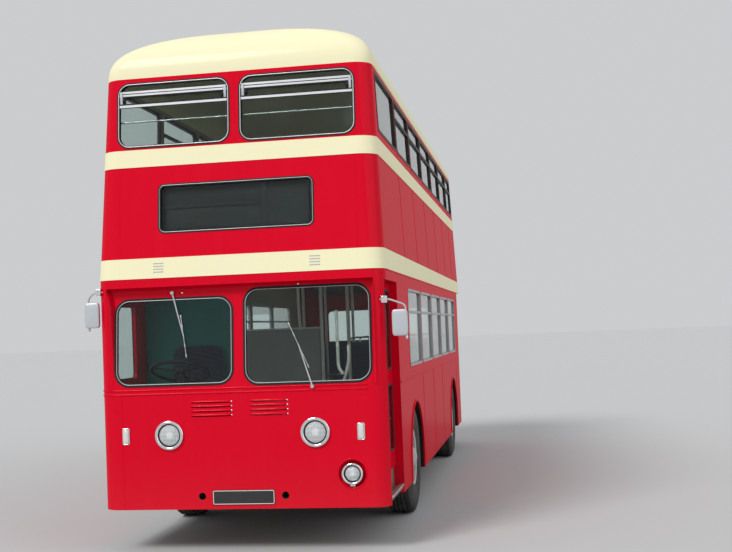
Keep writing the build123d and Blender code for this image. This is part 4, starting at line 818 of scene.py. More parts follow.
# A nut stepped down to its stud: radius, how far out
NUT = ((0.016, -0.002), (0.016, 0.018), (0.0135, 0.021), (0.009, 0.022), (0.009, 0.034))


class BUS_OT_wheel_nuts(BusOperator, bpy.types.Operator):
    """Ten nuts and a domed cap on each wheel"""
    bl_idname = "bus.wheel_nuts"
    bl_label = "Wheel nuts"

    def make(self):
        """Each nut is a six-sided ring, stepped down to its stud; the cap is a quarter ellipse turned."""
        turn = np.linspace(0, np.pi / 2, 8)[:-1]
        for side, word in SIDES:
            for where, axle, seat, ring, cap_x, cap_r in HUBS:
                nut = [(r, out * side) for r, out in NUT]
                shapes = []
                for angle in 2 * math.pi * np.arange(NUTS) / NUTS:
                    y, z = axle + ring * math.cos(angle), WHEEL_Z + ring * math.sin(angle)
                    shapes.append(spun(nut, (side * (WHEEL_X + seat), y, z), "X", 6))
                dome = [(cap_r + 0.012, -0.002 * side), (cap_r + 0.012, 0.010 * side)]
                dome += [(cap_r * math.cos(t), (0.010 + 0.045 * math.sin(t)) * side) for t in turn]
                shapes.append(spun(dome, (side * (WHEEL_X + cap_x), axle, WHEEL_Z), "X", 40))
                piece(f"{word}_{where}_wheel_nuts", shapes, "wheel", f"{word}_{where}_wheel")


# How far the dome's plan draws in up to its flat top, at the sides, the front and the rear
DRAWN_IN = (1.000, 0.650, 0.560)
DOME_POWER = 0.8
# How far the lining lies inside the skin, sideways and downwards
LINING_INSET, LINING_DROP = 0.045, 0.040


class BUS_OT_roof(BusOperator, bpy.types.Operator):
    """Smooth domed roof with its inner lining and rain gutters"""
    bl_idname = "bus.roof"
    bl_label = "Roof"

    def make(self):
        """One shell: rings of the lining from its top down to the eaves, then those of the skin up again."""
        angles = math.pi / 2 * np.linspace(0, 1, 22) ** 1.25
        skin = [self.ring(a, 0, 0) for a in angles]
        lining = [self.ring(a, LINING_INSET, LINING_DROP) for a in angles]
        piece("roof_skin", [lofted(lining[::-1] + skin)], "cream", replaces=["roof_dome"])
        z = EAVES + 0.004
        gutters = []
        for side in (-1, 1):
            x = side * (side_x(z) + 0.001)
            path = [(x, y, z) for y in np.linspace(FRONT + 0.42, UPPER_REAR - 0.24, 24)]
            gutters.append(carried(half_round(0.022, 0.012), path, (side, 0, 0)))
        piece("roof_gutters", gutters, "cream")

    def ring(self, angle, inset, drop):
        """Plan ring: it shrinks by 1 - cos and rises by sin of the same angle, both to the dome's power."""
        run = 1 - max(0.0, math.cos(angle)) ** DOME_POWER
        half = side_x(EAVES) - inset - DRAWN_IN[0] * run
        y0 = front_y(EAVES) + inset + DRAWN_IN[1] * run
        y1 = rear_y(EAVES) - inset - DRAWN_IN[2] * run
        flat = rounded(-half, half, y0, y1, min(CORNER - inset + 0.500 * run, 0.9 * half), 14)
        height = (ROOF_TOP - EAVES - drop) * math.sin(angle) ** DOME_POWER
        return np.column_stack([flat, np.full(len(flat), EAVES + height)])


# A double seat: half its width, the space from row to row, the cushion's height and depth, the back's height
SEAT_HALF, SEAT_PITCH, SEAT_UP, SEAT_DEEP, BACK_HIGH = 0.425, 0.735, 0.36, 0.330, 0.57
# Its handle behind its front edge and over the floor, its legs out from its middle, and their height
HANDLE_BACK, HANDLE_UP, LEG_OUT, LEG_HIGH = 0.425, 0.93, 0.295, 0.368
# Each deck's first row behind the front, and its seats' middle across
LOWER_ROW, LOWER_SEAT_X, UPPER_ROW, UPPER_SEAT_X = 3.05, 0.733, 0.72, 0.6866
# The driver's seat: middle across, height, half its width
DRIVER_X, DRIVER_Z, DRIVER_HALF = -0.65, 1.06, 0.24
# The bench over each rear wheel box, from its inner edge to the wall, and half its length
BENCH_INNER, BENCH_EDGE, BENCH_OUTER, BENCH_HALF = 0.640, 1.100, 1.158, 0.648
# The bench across the rear: half its length, and seams as shares of that
REAR_BENCH_HALF, BENCH_SEAMS = 1.05, (-0.5, 0.0, 0.5)


class BUS_OT_seats(BusOperator, bpy.types.Operator):
    """Crowned cushions and backs of every seat, with grab handles and legs"""
    bl_idname = "bus.seats"
    bl_label = "Seats"

    def make(self):
        """Pads, a handle and two legs for each double seat; pads alone for the cab seat and the benches."""
        cushions, backs, handles, legs = [], [], [], []
        for x, d, floor in self.rows():
            y = FRONT + d
            cushions.append(self.cushion(x, y, floor + SEAT_UP, SEAT_HALF, SEAT_DEEP, (0.0,)))
            backs.append(self.back(x, y + SEAT_DEEP, floor + SEAT_UP, SEAT_HALF, BACK_HIGH, (0.0,)))
            handles.append(self.handle(x, y + HANDLE_BACK, floor + HANDLE_UP))
            for mid in about(x, LEG_OUT):
                legs.append(block(about(mid, 0.015), (y + 0.06, y + 0.33), (floor, floor + LEG_HIGH),
                                  0.006))
        cushions.append(self.cushion(DRIVER_X, FRONT + 0.69, DRIVER_Z, DRIVER_HALF, 0.34, ()))
        backs.append(self.back(DRIVER_X, FRONT + 1.025, DRIVER_Z, DRIVER_HALF, 0.63, (), 0.0))
        y0, y1 = AXLES[1] - BENCH_HALF, AXLES[1] + BENCH_HALF
        for side in (-1, 1):
            low, high = sorted((side * BENCH_INNER, side * BENCH_EDGE))
            cushions.append(pillow((low, y0, 1.128), (high, y1, 1.222), 7, 0.18))
            low, high = sorted((side * BENCH_EDGE, side * BENCH_OUTER))
            backs.append(pillow((low, y0, 1.130), (high, y1, 1.475), 7, 0.0))
        rear = LOWER_REAR - 0.047
        low, high = (-REAR_BENCH_HALF, rear - 0.47, 1.018), (REAR_BENCH_HALF, rear - 0.09, 1.142)
        cushions.append(pillow(low, high, 8, 0.2, BENCH_SEAMS, 40))
        backs.append(self.back(0, rear - 0.09, 1.02, REAR_BENCH_HALF, 0.60, BENCH_SEAMS, 0.0))
        cushion = piece("seat_cushion_pads", cushions, "moquette",
                        replaces=["seat_cushions"])
        back = piece("seat_back_pads", backs, "moquette", replaces=["seat_backs"])
        piece("seat_handles", handles, "chrome")
        legs.append(block((-0.86, -0.44), (FRONT + 0.80, FRONT + 1.02), (0.82, 1.075), 0.02))
        legs.append(block((-1.0, 1.0), (rear - 0.42, rear - 0.38), (LOWER_FLOOR, 1.03), 0.01))
        piece("seat_legs", legs, "rail")

    def rows(self):
        """Each double seat's middle across, its place behind the front and its floor.

        Upstairs the stairwell takes the place of the first three on the offside.
        """
        lower = [(side * LOWER_SEAT_X, LOWER_ROW + k * SEAT_PITCH, LOWER_FLOOR)
                 for k in range(4) for side in (-1, 1)]
        upper = [(side * UPPER_SEAT_X, UPPER_ROW + k * SEAT_PITCH, UPPER_FLOOR)
                 for k in range(10) for side in (-1, 1) if side > 0 or k >= 3]
        return lower + upper

    def cushion(self, x, y, z, half, deep, seams):
        """A pad that is crowned on top and flat below."""
        crown = sizes().crown
        return pillow((x - half, y, z - 0.002), (x + half, y + deep, z + 0.105), 6, crown, seams)

    def back(self, x, y, z, half, high, seams, lean=0.05):
        """A pad stood on end: its thickness along Y, sheared back by the lean over its height."""
        pad = pillow((-half, -high / 2, -0.045), (half, high / 2, 0.045), 6, sizes().crown, seams)

        def stand(p):
            up = p[:, 1] + high / 2
            return np.column_stack([p[:, 0] + x, y + 0.045 + lean * up / high - p[:, 2], z + up])
        return moved(pad, stand)

    def handle(self, x, y, z):
        """Round bar bent along the top of a seat's back."""
        ends, top = (y, z - 0.03), (y + 0.012, z + 0.045)
        path = bent([(x - 0.36, *ends), (x - 0.36, *top), (x + 0.36, *top), (x + 0.36, *ends)], 0.06)
        return carried(circle(0.009, 8), path, (0, 1, 0))


# Knob of a vent catch: radius, place along Y
KNOB = ((0.009, 0.002), (0.011, -0.006), (0.009, -0.014), (0.004, -0.018))
# Rubber lines across an upper front window under its vent: height, half thickness
VENT_LINES = ((3.851, 0.003), (3.823, 0.007), (3.760, 0.005))
# Rail behind the upper front windows: half its length, its place along the bus and its height
RAIL_HALF, RAIL_Y, RAIL_Z = 1.112, FRONT + 0.185, 3.612


class BUS_OT_front_windows(BusOperator, bpy.types.Operator):
    """Bright beads round the upper front windows, their vent catches and the rail inside"""
    bl_idname = "bus.front_windows"
    bl_label = "Front windows"

    def make(self):
        """Round or half-round sections carried along the openings' rounded outlines, and small blocks."""
        beads, catches, posts, seals = [], [], [], []
        near, far, foot, head = UPPER_WINDOW
        for side in (-1, 1):
            low, high = sorted((side * near, side * far))
            outline = rounded(low + 0.015, high - 0.015, foot, head, 0.095, 10)
            path = stood_up(outline, front_y(outline[:, 1]) - 0.003)
            beads.append(carried(circle(sizes().bead, 10), path, (0, -1, 0.1), True))
            for z, half in VENT_LINES:
                y = front_y(z)
                seals.append(block((low + 0.026, high - 0.026), (y - 0.0065, y + 0.012), about(z, half),
                                   0.001))
            y = front_y(3.795)
            for x, inner in ((low + 0.040, low + 0.064), (high - 0.040, high - 0.064)):
                posts.append(block(about(x, 0.012), (y - 0.006, y + 0.016), (3.738, 3.868), 0.004))
                seals.append(block(about(inner, 0.012), (y - 0.004, y + 0.016), (3.757, 3.829), 0.004))
                catches.append(spun(KNOB, (inner, y - 0.004, 3.793), "Y", 14))
        outline = rounded(*DISPLAY, 0.047, 8)
        path = stood_up(outline, front_y(outline[:, 1]) - 0.0035)
        beads.append(carried(circle(sizes().bead * 0.6, 8), path, (0, -1, 0.1), True))
        piece("front_window_beads", beads, "aluminium")
        rims, inset = [], 0.0205
        for low, high, foot, head in WINDSCREENS:
            outline = rounded(low + inset, high - inset, foot + inset, head - inset, 0.130 - inset, 10)
            path = stood_up(outline, screen_y(outline[:, 1]) - 0.0035)
            rims.append(carried(half_round(0.007, 0.0025), path, (0, -1, 0.1), True))
        piece("windscreen_rims", rims, "frames")
        piece("vent_posts", posts, "frames")
        piece("vent_seals", seals, "rubber")
        piece("vent_catches", catches, "dash")
        path = [(x, RAIL_Y, RAIL_Z) for x in np.linspace(-RAIL_HALF, RAIL_HALF, 12)]
        rail = carried(circle(0.008), path, (0, 0, 1))
        piece("upper_front_rail", [rail], "aluminium")


# Strips down the front: place across, edges, how far out, and whether on a cream band
FRONT_STRIPS = ((-1.000, UPPER_PANEL, 0.005, False), (1.010, UPPER_PANEL, 0.005, False),
                (-1.000, LOWER_BAND, 0.0062, True), (1.010, LOWER_BAND, 0.0062, True),
                (-1.018, LOWER_PANEL, 0.004, False), (0.0, TOP_PANEL_FRONT, 0.004, False))
# Heights of the thin strips along the side walls: one under the deck line, the others above it
DECK_STRIP, UPPER_STRIPS = 2.262, (DECK + 0.174, 3.208, 3.367)
# Pillars beside the windscreens: outer edge and both widths; foot, start of the round head and its height
PILLAR_X, PILLAR_OFFSIDE, PILLAR_NEARSIDE = 1.1265, 0.048, 0.025
PILLAR_FOOT, PILLAR_ROUND, PILLAR_HEAD = 1.350, 2.02, 0.150


class BUS_OT_mouldings(BusOperator, bpy.types.Operator):
    """Cover strips over the panel joints, the belt moulding and the arch beads"""
    bl_idname = "bus.mouldings"
    bl_label = "Mouldings"

    def make(self):
        """Each strip is a half-round section carried along its line on the wall."""
        wide = sizes().strip
        red, cream = [], []
        joints = [FIRST_PILLAR + k * BAY for k in range(6)]
        for side in (-1, 1):
            for y in joints:
                red.append(self.upright(side, y, UPPER_PANEL, wide, 0.0035))
                red.append(self.upright(side, y, TOP_PANEL, wide, 0.0035))
                cream.append(self.upright(side, y, LOWER_BAND, wide * 0.6, 0.0065))
                cream.append(self.upright(side, y, UPPER_BAND, wide * 0.6, 0.0065))
            for y in joints[1:]:
                if all(abs(y - axle) > 0.66 for axle in AXLES):
                    red.append(self.upright(side, y, LOWER_PANEL, wide, 0.0035))
        for x, edges, out, on_band in FRONT_STRIPS:
            z = np.linspace(*edges, 12)
            path = np.column_stack([np.full(12, x), front_y(z), z])
            (cream if on_band else red).append(carried(half_round(wide * 0.5, out), path, (0, -1, 0)))
        for z in (SILL, SCREEN_FOOT):
            red.append(carried(half_round(0.018, 0.007), self.round_front(z), self.round_front(z, True)))
        for side, start in ((1, FRONT + 0.92), (-1, FRONT + 0.99)):
            red.append(self.level(side, SILL, start, LOWER_REAR - 0.18, 40, 0.020, 0.008))
            red.append(self.level(side, DECK_STRIP, FRONT + 0.2, LOWER_REAR - 0.18, 40, 0.012, 0.007))
        for side in (-1, 1):
            for z in UPPER_STRIPS:
                red.append(self.level(side, z, FRONT + 0.36, UPPER_REAR - 0.2, 30, 0.008, 0.0045))
        piece("red_cover_strips", red, "red")
        piece("cream_cover_strips", cream, "cream")
        self.arch_beads()
        self.pillar_fairings()

    def upright(self, side, y, edges, wide, out):
        """Strip up a side wall between two heights."""
        z = np.linspace(*edges, 8)
        path = np.column_stack([side * side_x(z), np.full(8, y), z])
        return carried(half_round(wide, out), path, (side, 0, 0))

    def level(self, side, z, start, end, count, wide, out):
        """Strip along a side wall at one height."""
        path = [(side * side_x(z), y, z) for y in np.linspace(start, end, count)]
        return carried(half_round(wide, out), path, (side, 0, 0))

    def round_front(self, z, normals=False):
        """Line round the front at one height, from the offside through its corner to the door pillar."""
        turn = np.linspace(0, np.pi / 2, 9)
        corner = CORNER - CORNER * np.column_stack([np.cos(turn), np.sin(turn)]) + (-HALF, FRONT)
        side = np.array([[-HALF, FRONT + 0.32], [-HALF, FRONT + 0.24]])
        flat = np.column_stack([np.linspace(-HALF + 0.2, 1.05, 24), np.full(24, FRONT)])
        line = np.concatenate([side, corner, flat])
        if normals:
            run = np.gradient(line, axis=0)
            return np.column_stack([run[:, 1], -run[:, 0], np.zeros(len(line))])
        return np.column_stack([line, np.full(len(line), z)])

    def pillar_fairings(self):
        """Rounded pillars beside the windscreens: quarter ellipses from the flush face to the set-in wall.

        Near the peak they narrow along a quarter circle, so that the set-in part ends in a round corner.
        """
        shapes = []
        turn = np.linspace(0, np.pi / 2, 9)
        straight = np.linspace(PILLAR_FOOT, PILLAR_ROUND, 12)
        head = PILLAR_ROUND + PILLAR_HEAD * np.sin(np.linspace(0.15, np.pi / 2, 12))
        for side, wide in ((-1, PILLAR_OFFSIDE), (1, PILLAR_NEARSIDE)):
            rings = []
            for z in np.concatenate([straight, head]):
                up = max(0.0, (z - PILLAR_ROUND) / PILLAR_HEAD)
                share = max(0.03, math.sqrt(max(0.0, 1 - up ** 2)))
                deep = screen_y(z) - FRONT
                x = PILLAR_X - wide * share * np.sin(turn)
                y = FRONT - 0.0004 + deep * (1 - np.cos(turn))
                x = np.concatenate([x, [x[-1], PILLAR_X]])
                y = np.concatenate([y, [FRONT + deep + 0.004] * 2])
                rings.append(np.column_stack([side * x, y, np.full(len(x), z)]))
            shapes.append(lofted(rings))
        piece("screen_pillar_fairings", shapes, "red")

    def arch_beads(self):
        """A bead round each wheel arch: a half circle on two straight legs."""
        shapes = []
        turn = np.linspace(0, np.pi, 40)
        foot = [ARCH_Z - 0.102]
        for side in (-1, 1):
            for axle in AXLES:
                y = axle + ARCH_RADIUS * np.concatenate([[1], np.cos(turn), [-1]])
                z = np.concatenate([foot, ARCH_Z + ARCH_RADIUS * np.sin(turn), foot])
                path = np.column_stack([np.full(len(y), side * (HALF + 0.003)), y, z])
                shapes.append(carried(half_round(0.020, 0.008), path, (side, 0, 0)))
        piece("arch_beads", shapes, "red")


# Vents in the lower band: place across, height of the lowest slot, space from slot to slot
GRILLES_X, GRILLE_Z, GRILLE_PITCH = (-0.660, 0.660), 2.314, 0.024


class BUS_OT_grilles(BusOperator, bpy.types.Operator):
    """Grey backs of the two small vents in the lower band"""
    bl_idname = "bus.grilles"
    bl_label = "Grilles"

    def make(self):
        """Four thin slats behind each vent's slots."""
        backs = []
        for x in GRILLES_X:
            for z in GRILLE_Z + GRILLE_PITCH * np.arange(4):
                y = front_y(z)
                backs.append(block(about(x, 0.0455), (y - 0.0008, y + 0.016), (z - 0.001, z + 0.011),
                                   0.0004))
        piece("grille_backs", backs, "silver")


# Both rows of louvres, from left to right, the lowest one's height and the space between them
LOUVRES, LOUVRE_Z, LOUVRE_PITCH = ((-0.418, -0.077), (0.082, 0.390)), 1.130, 0.037
# Bright cap at a louvre's end, and the wall of a towing hole: radius, place along Y
END_CAP = ((0.0085, 0.0), (0.0080, -0.005), (0.0050, -0.0095), (0.0015, -0.011))
HOLE_WALL = ((0.0308, -0.0004), (0.0308, 0.058), (0.0285, 0.058), (0.0285, 0.0015))
HOLES_X, HOLES_Z = (-0.348, 0.348), 0.466


class BUS_OT_louvres(BusOperator, bpy.types.Operator):
    """Pressed hoods over the slots of the front panel, with bright end caps"""
    bl_idname = "bus.louvres"
    bl_label = "Louvres"

    def make(self):
        hoods, caps = [], []
        for x0, x1 in LOUVRES:
            for z in LOUVRE_Z + LOUVRE_PITCH * np.arange(4):
                hoods.append(self.hood(x0 - 0.008, x1 + 0.008, z))
                caps.append(spun(END_CAP, (x1 + 0.002, FRONT + 0.001, z - 0.004), "Y", 14))
        piece("front_louvres", hoods, "red")
        piece("louvre_end_caps", caps, "chrome")
        # painted shade: the towing holes get near-black liners that stand in for the shade inside them
        liners = [spun(HOLE_WALL, (x, FRONT, HOLES_Z), "Y", 32, True) for x in HOLES_X]
        piece("towing_hole_liners", liners, "dash")

    def hood(self, x0, x1, z):
        """Quarter ellipse out of the wall, whose reach is the sine of the way along to the power 0.28."""
        along = np.linspace(0, 1, 22)
        reach = np.sin(np.pi * along) ** 0.28
        arc = np.linspace(0, np.pi / 2, 6)
        outer = np.stack([-0.013 * np.sin(arc), 0.016 * np.cos(arc)], -1)
        section = np.concatenate([outer, outer[::-1] * 0.78])
        rings = np.zeros((len(along), len(section), 3))
        rings[..., 0] = (x0 + (x1 - x0) * along)[:, None]
        rings[..., 1] = FRONT + 0.001 + section[None, :, 0] * reach[:, None]
        rings[..., 2] = z - 0.006 + section[None, :, 1] * (0.25 + 0.75 * reach[:, None])
        return lofted(rings)


# Front lamps: place across, height, radius; the fog lamp comes last
HEADLAMP = 0.1225
LAMPS = ((-0.612, 0.970, HEADLAMP), (0.612, 0.970, HEADLAMP), (0.902, 0.631, 0.088))
# Back of the fog lamp's dish: radius, place along Y
DISH = [(0.112, 0.020), (0.096, 0.042), (0.060, 0.050), (0.060, 0.054), (0.100, 0.050), (0.124, 0.020)]
# Head of a small screw
SCREW = ((0.008, 0.0), (0.008, -0.006), (0.003, -0.008))
# Side lamps: place across, middle height, half width and half height of the rim
SIDE_LAMP_X, SIDE_LAMP_Z, SIDE_LAMP_WIDE, SIDE_LAMP_HIGH = 0.985, 0.968, 0.026, 0.065


class BUS_OT_front_lamps(BusOperator, bpy.types.Operator):
    """Headlamps, fog lamp and side lamps: bezels, bowls, bulbs and lenses"""
    bl_idname = "bus.front_lamps"
    bl_label = "Front lamps"

    def make(self):
        chrome, lenses, bulbs, seals, pale = [], [], [], [], []
        for x, z, r in LAMPS:
            centre = (x, FRONT, z)
            bezel, seal, bowl, shield, lens = self.lamp(r)
            chrome.append(spun(bezel, centre, "Y", 72, True))
            seals.append(spun(seal, centre, "Y", 60, True))
            chrome.append(spun(bowl, centre, "Y", 60, True))
            bulbs.append(spun(shield, centre, "Y", 28))
            lenses.append(spun(lens, centre, "Y", 60))
        x, z, r = LAMPS[-1]
        turn = np.linspace(0, np.pi, 8)
        ring = [(0.118 + 0.006 * math.cos(t), -0.005 * math.sin(t)) for t in turn]
        dish = spun(ring + DISH, (x, FRONT, z), "Y", 64, True)
        foot = z - r
        chrome.append(block(about(x, 0.022), (FRONT - 0.010, FRONT + 0.028), (foot - 0.014, foot + 0.006),
                            0.006))
        chrome.append(spun(SCREW, (x, FRONT - 0.009, foot - 0.004), "Y", 8))
        for side in (-1, 1):
            x = side * SIDE_LAMP_X
            outline = rounded(x - SIDE_LAMP_WIDE, x + SIDE_LAMP_WIDE, SIDE_LAMP_Z - SIDE_LAMP_HIGH,
                              SIDE_LAMP_Z + SIDE_LAMP_HIGH, 0.010, 6)
            chrome.append(carried(circle(0.0055), stood_up(outline, FRONT - 0.004), (0, -1, 0), True))
            pad = pillow((x - 0.022, -0.061, -0.013), (x + 0.022, 0.061, 0.013), 5, 0.15, (), 14)
            pale.append(moved(pad, self.upright))
        piece("lamp_bezels", chrome, "chrome", replaces=["front_lamps"])
        piece("lamp_glasses", lenses, "lens", replaces=["lamp_lenses"])
        piece("lamp_bulb_shields", bulbs, "bulb")
        piece("lamp_seals", seals, "rubber")
        piece("fog_lamp_dish", [dish], "red")
        piece("side_lamp_lenses", pale, "pale_lens")

    def lamp(self, r):
        """Profiles of a lamp of radius r: bezel, seal, bowl, bulb shield and lens.

        The bezel is a half ellipse to the power 0.6, the bowl a parabola and the lens a shallow one.
        """
        band = 0.028 * r / HEADLAMP
        deep = r * 0.55
        bezel = [(r - band / 2 + band / 2 * math.cos(t), -0.004 - 0.019 * max(0.0, math.sin(t)) ** 0.6)
                 for t in np.linspace(-0.35, np.pi - 0.15, 14)]
        bezel += [(r - band, 0.004), (r - band, 0.030), (r - 0.002, 0.030)]
        seal = [(r - band + 0.002, -0.004), (r - band - 0.009, -0.007), (r - band - 0.010, 0.006),
                (r - band + 0.002, 0.006)]
        s = np.linspace(1, 0.16, 10)
        bowl = [((r - 0.020) * k, 0.004 + deep * (1 - k ** 2)) for k in s]
        bowl += [((r - 0.020) * k, 0.009 + deep * (1 - k ** 2)) for k in s[::-1]]
        shield = [(0.026 * r / 0.12, -0.002), (0.030 * r / 0.12, 0.002), (0.030 * r / 0.12, 0.02),
                  (0.012 * r / 0.12, deep)]
        s = np.linspace(0.02, 1, 12)
        lens_r = r - band - 0.0085
        lens = [(lens_r * k, -0.020 * (1 - k ** 2) - 0.004) for k in s]
        lens += [(lens_r * k, -0.020 * (1 - k ** 2)) for k in s[::-1]]
        return bezel, seal, bowl, shield, lens

    def upright(self, points):
        """A side lamp's pad stood on end in front of the panel."""
        return np.column_stack([points[:, 0], FRONT - 0.004 - points[:, 2], SIDE_LAMP_Z + points[:, 1]])


# Openings of the rear and its plate: left, right, bottom, top
REAR_WINDOW = (-0.760, 0.760, 1.560, 2.080)
EXIT_WINDOW = (-0.490, 0.490, 3.430, 3.820)
REAR_PLATE = (-0.255, 0.255, 0.483, 0.594)
# Handle of the emergency door: place across, height
EXIT_HANDLE = (0.45, 3.06)
# Lamps of the rear on each side, from below: height, whether amber
REAR_LAMPS, REAR_LAMP_X = ((0.560, False), (0.700, False), (0.840, True)), 0.970


class BUS_OT_rear_fittings(BusOperator, bpy.types.Operator):
    """Rear lamp lenses and rims, window rubbers, handles and the rear plate's edge"""
    bl_idname = "bus.rear_fittings"
    bl_label = "Rear fittings"

    def make(self):
        """A lens is a shallow parabola turned, its rim a half round ring; rubbers run round the openings."""
        rims, red, amber = [], [], []
        s = np.linspace(1, 0.04, 9)
        lens = [(0.041, 0.0)] + [(0.041 * k, 0.008 + 0.014 * (1 - k ** 2)) for k in s]
        rim = [(0.0445 + 0.0045 * math.cos(t), 0.006 + 0.008 * math.sin(t)) for t in np.linspace(0, np.pi, 7)]
        rim += [(0.040, 0.0), (0.049, 0.0)]
        for side in (-1, 1):
            for z, is_amber in REAR_LAMPS:
                centre = (side * REAR_LAMP_X, HOUSING_REAR, z)
                (amber if is_amber else red).append(spun(lens, centre, "Y", 40))
                rims.append(spun(rim, centre, "Y", 40, True))
        piece("rear_lamp_lenses", red, "red_lens", replaces=["rear_lamps"])
        piece("rear_flashers", amber, "amber_lens")
        path = stood_up(rounded(*REAR_WINDOW, 0.070, 9), LOWER_REAR)
        piece("rear_window_rubber", [carried(circle(0.012), path, (0, 1, 0), True)], "rubber")
        outline = rounded(*EXIT_WINDOW, 0.070, 9)
        path = stood_up(outline, rear_y(outline[:, 1]))
        piece("exit_window_rubber", [carried(circle(0.012), path, (0, 1, 0.03), True)], "rubber",
              "exit_door")
        band = block((-0.552, 0.552), (0, 0.005), (3.213, 3.362), 0.0008)
        band = moved(band, lambda p: p + np.outer(rear_y(p[:, 2]) - 0.001, (0, 1, 0)))
        piece("exit_door_band", [band], "cream", "exit_door")
        self.exit_handle(*EXIT_HANDLE)
        piece("rear_lamp_rims", rims, "chrome")
        path = stood_up(rounded(*REAR_PLATE, 0.006, 4), HOUSING_REAR + 0.008)
        piece("rear_plate_edge", [carried(half_round(0.006, 0.0022), path, (0, 1, 0), True)], "white",
              "engine_lid")
        face = block((-0.253, 0.253), (HOUSING_REAR + 0.006, HOUSING_REAR + 0.0088), (0.485, 0.592), 0.001)
        piece("rear_plate_face", [face], "blind", "engine_lid")

    def exit_handle(self, x, z):
        """Bar bent out of a rose on the emergency door and back towards it."""
        y = rear_y(z)
        path = bent([(x, y - 0.002, z), (x, y + 0.032, z), (x - 0.12, y + 0.032, z),
                     (x - 0.12, y + 0.018, z)], 0.02)
        rose = spun([(0.022, -0.002), (0.022, 0.006), (0.012, 0.009)], (x, y, z), "Y", 24)
        piece("exit_handle", [carried(circle(0.009), path, (0, 0, 1)), rose], "chrome", "exit_door")


# Mirrors: side, their outer edge, their top
MIRRORS = ((1, 1.389, 1.932), (-1, 1.330, 2.090))
MIRROR_WIDE, MIRROR_HIGH, MIRROR_HALF_THICK = 0.126, 0.213, 0.022
# Clamp at a stay's foot: radius, place along Z
STAY_FOOT = ((0.010, -0.014), (0.012, -0.006), (0.012, 0.006), (0.010, 0.014))


class BUS_OT_mirrors(BusOperator, bpy.types.Operator):
    """Mirror heads, their glasses, stays and clamps"""
    bl_idname = "bus.mirrors"
    bl_label = "Mirrors"

    def make(self):
        """A head is a crowned pad stood on end with a flat glass behind; the stay is a bar bent to it."""
        heads, glasses, stays, clamps = [], [], [], []
        y = FRONT + 0.055
        half, up = MIRROR_WIDE / 2, MIRROR_HIGH / 2
        pad = pillow((-half, -up, -MIRROR_HALF_THICK), (half, up, MIRROR_HALF_THICK), 7, 0.12, (), 18)
        for side, reach, top in MIRRORS:
            x, z, foot = side * (reach - half), top - up, top - MIRROR_HIGH
            heads.append(moved(pad, lambda p: np.column_stack([p[:, 0] + x, y - p[:, 2], p[:, 1] + z])))
            glasses.append(block((x - half + 0.008, x + half - 0.008), (y + 0.018, y + 0.0235),
                                 (z - up + 0.008, z + up - 0.008), 0.002))
            out, stay_y = x + side * 0.045, y + 0.032
            path = bent([(side * (HALF - 0.05), y, top + 0.085), (side * (HALF + 0.03), y, top + 0.085),
                         (out, stay_y, top + 0.035), (out, stay_y, foot - 0.015)], 0.03)
            stays.append(carried(circle(0.0075), path, (0.3, 1, 0.1)))
            for at in (top - 0.045, foot + 0.045):
                clamps.append(block(about(out, 0.014), (y + 0.014, y + 0.044), about(at, 0.011),
                                    0.004))
            clamps.append(block(sorted((side * (HALF - 0.035), side * (HALF + 0.012))), about(y, 0.026),
                                (top + 0.055, top + 0.115), 0.008))
            clamps.append(spun(STAY_FOOT, (out, stay_y, foot - 0.012), "Z", 16))
        piece("mirror_heads", heads, "silver", replaces=["mirrors"])
        piece("mirror_glasses", glasses, "looking_glass")
        piece("mirror_stays", stays, "silver")
        piece("mirror_clamps", clamps, "chrome")


# Wipers: side, pivot across and up, arm's length, its turn, blade's length, its turn on the arm, in degrees
WIPERS = (("offside", -0.568, 2.142, 0.377, -14.7, 0.361, 6.7),
          ("nearside", 0.605, 1.337, 0.353, 162.3, 0.412, -6.3))
# Where claws hold the blade, as shares of its length
CLAWS = (-0.45, -0.22, 0.0, 0.22, 0.45)
# Boss over a wiper's pivot, its pin, and a washer jet: radius, place along Y
BOSS = ((0.015, -0.026), (0.017, -0.022), (0.017, -0.010), (0.012, -0.006))
PIN = ((0.0075, -0.012), (0.0075, 0.040))
JET = ((0.012, 0.004), (0.012, -0.006), (0.008, -0.014), (0.003, -0.017))
JETS_AT = ((-0.484, 2.142), (0.500, 2.175))


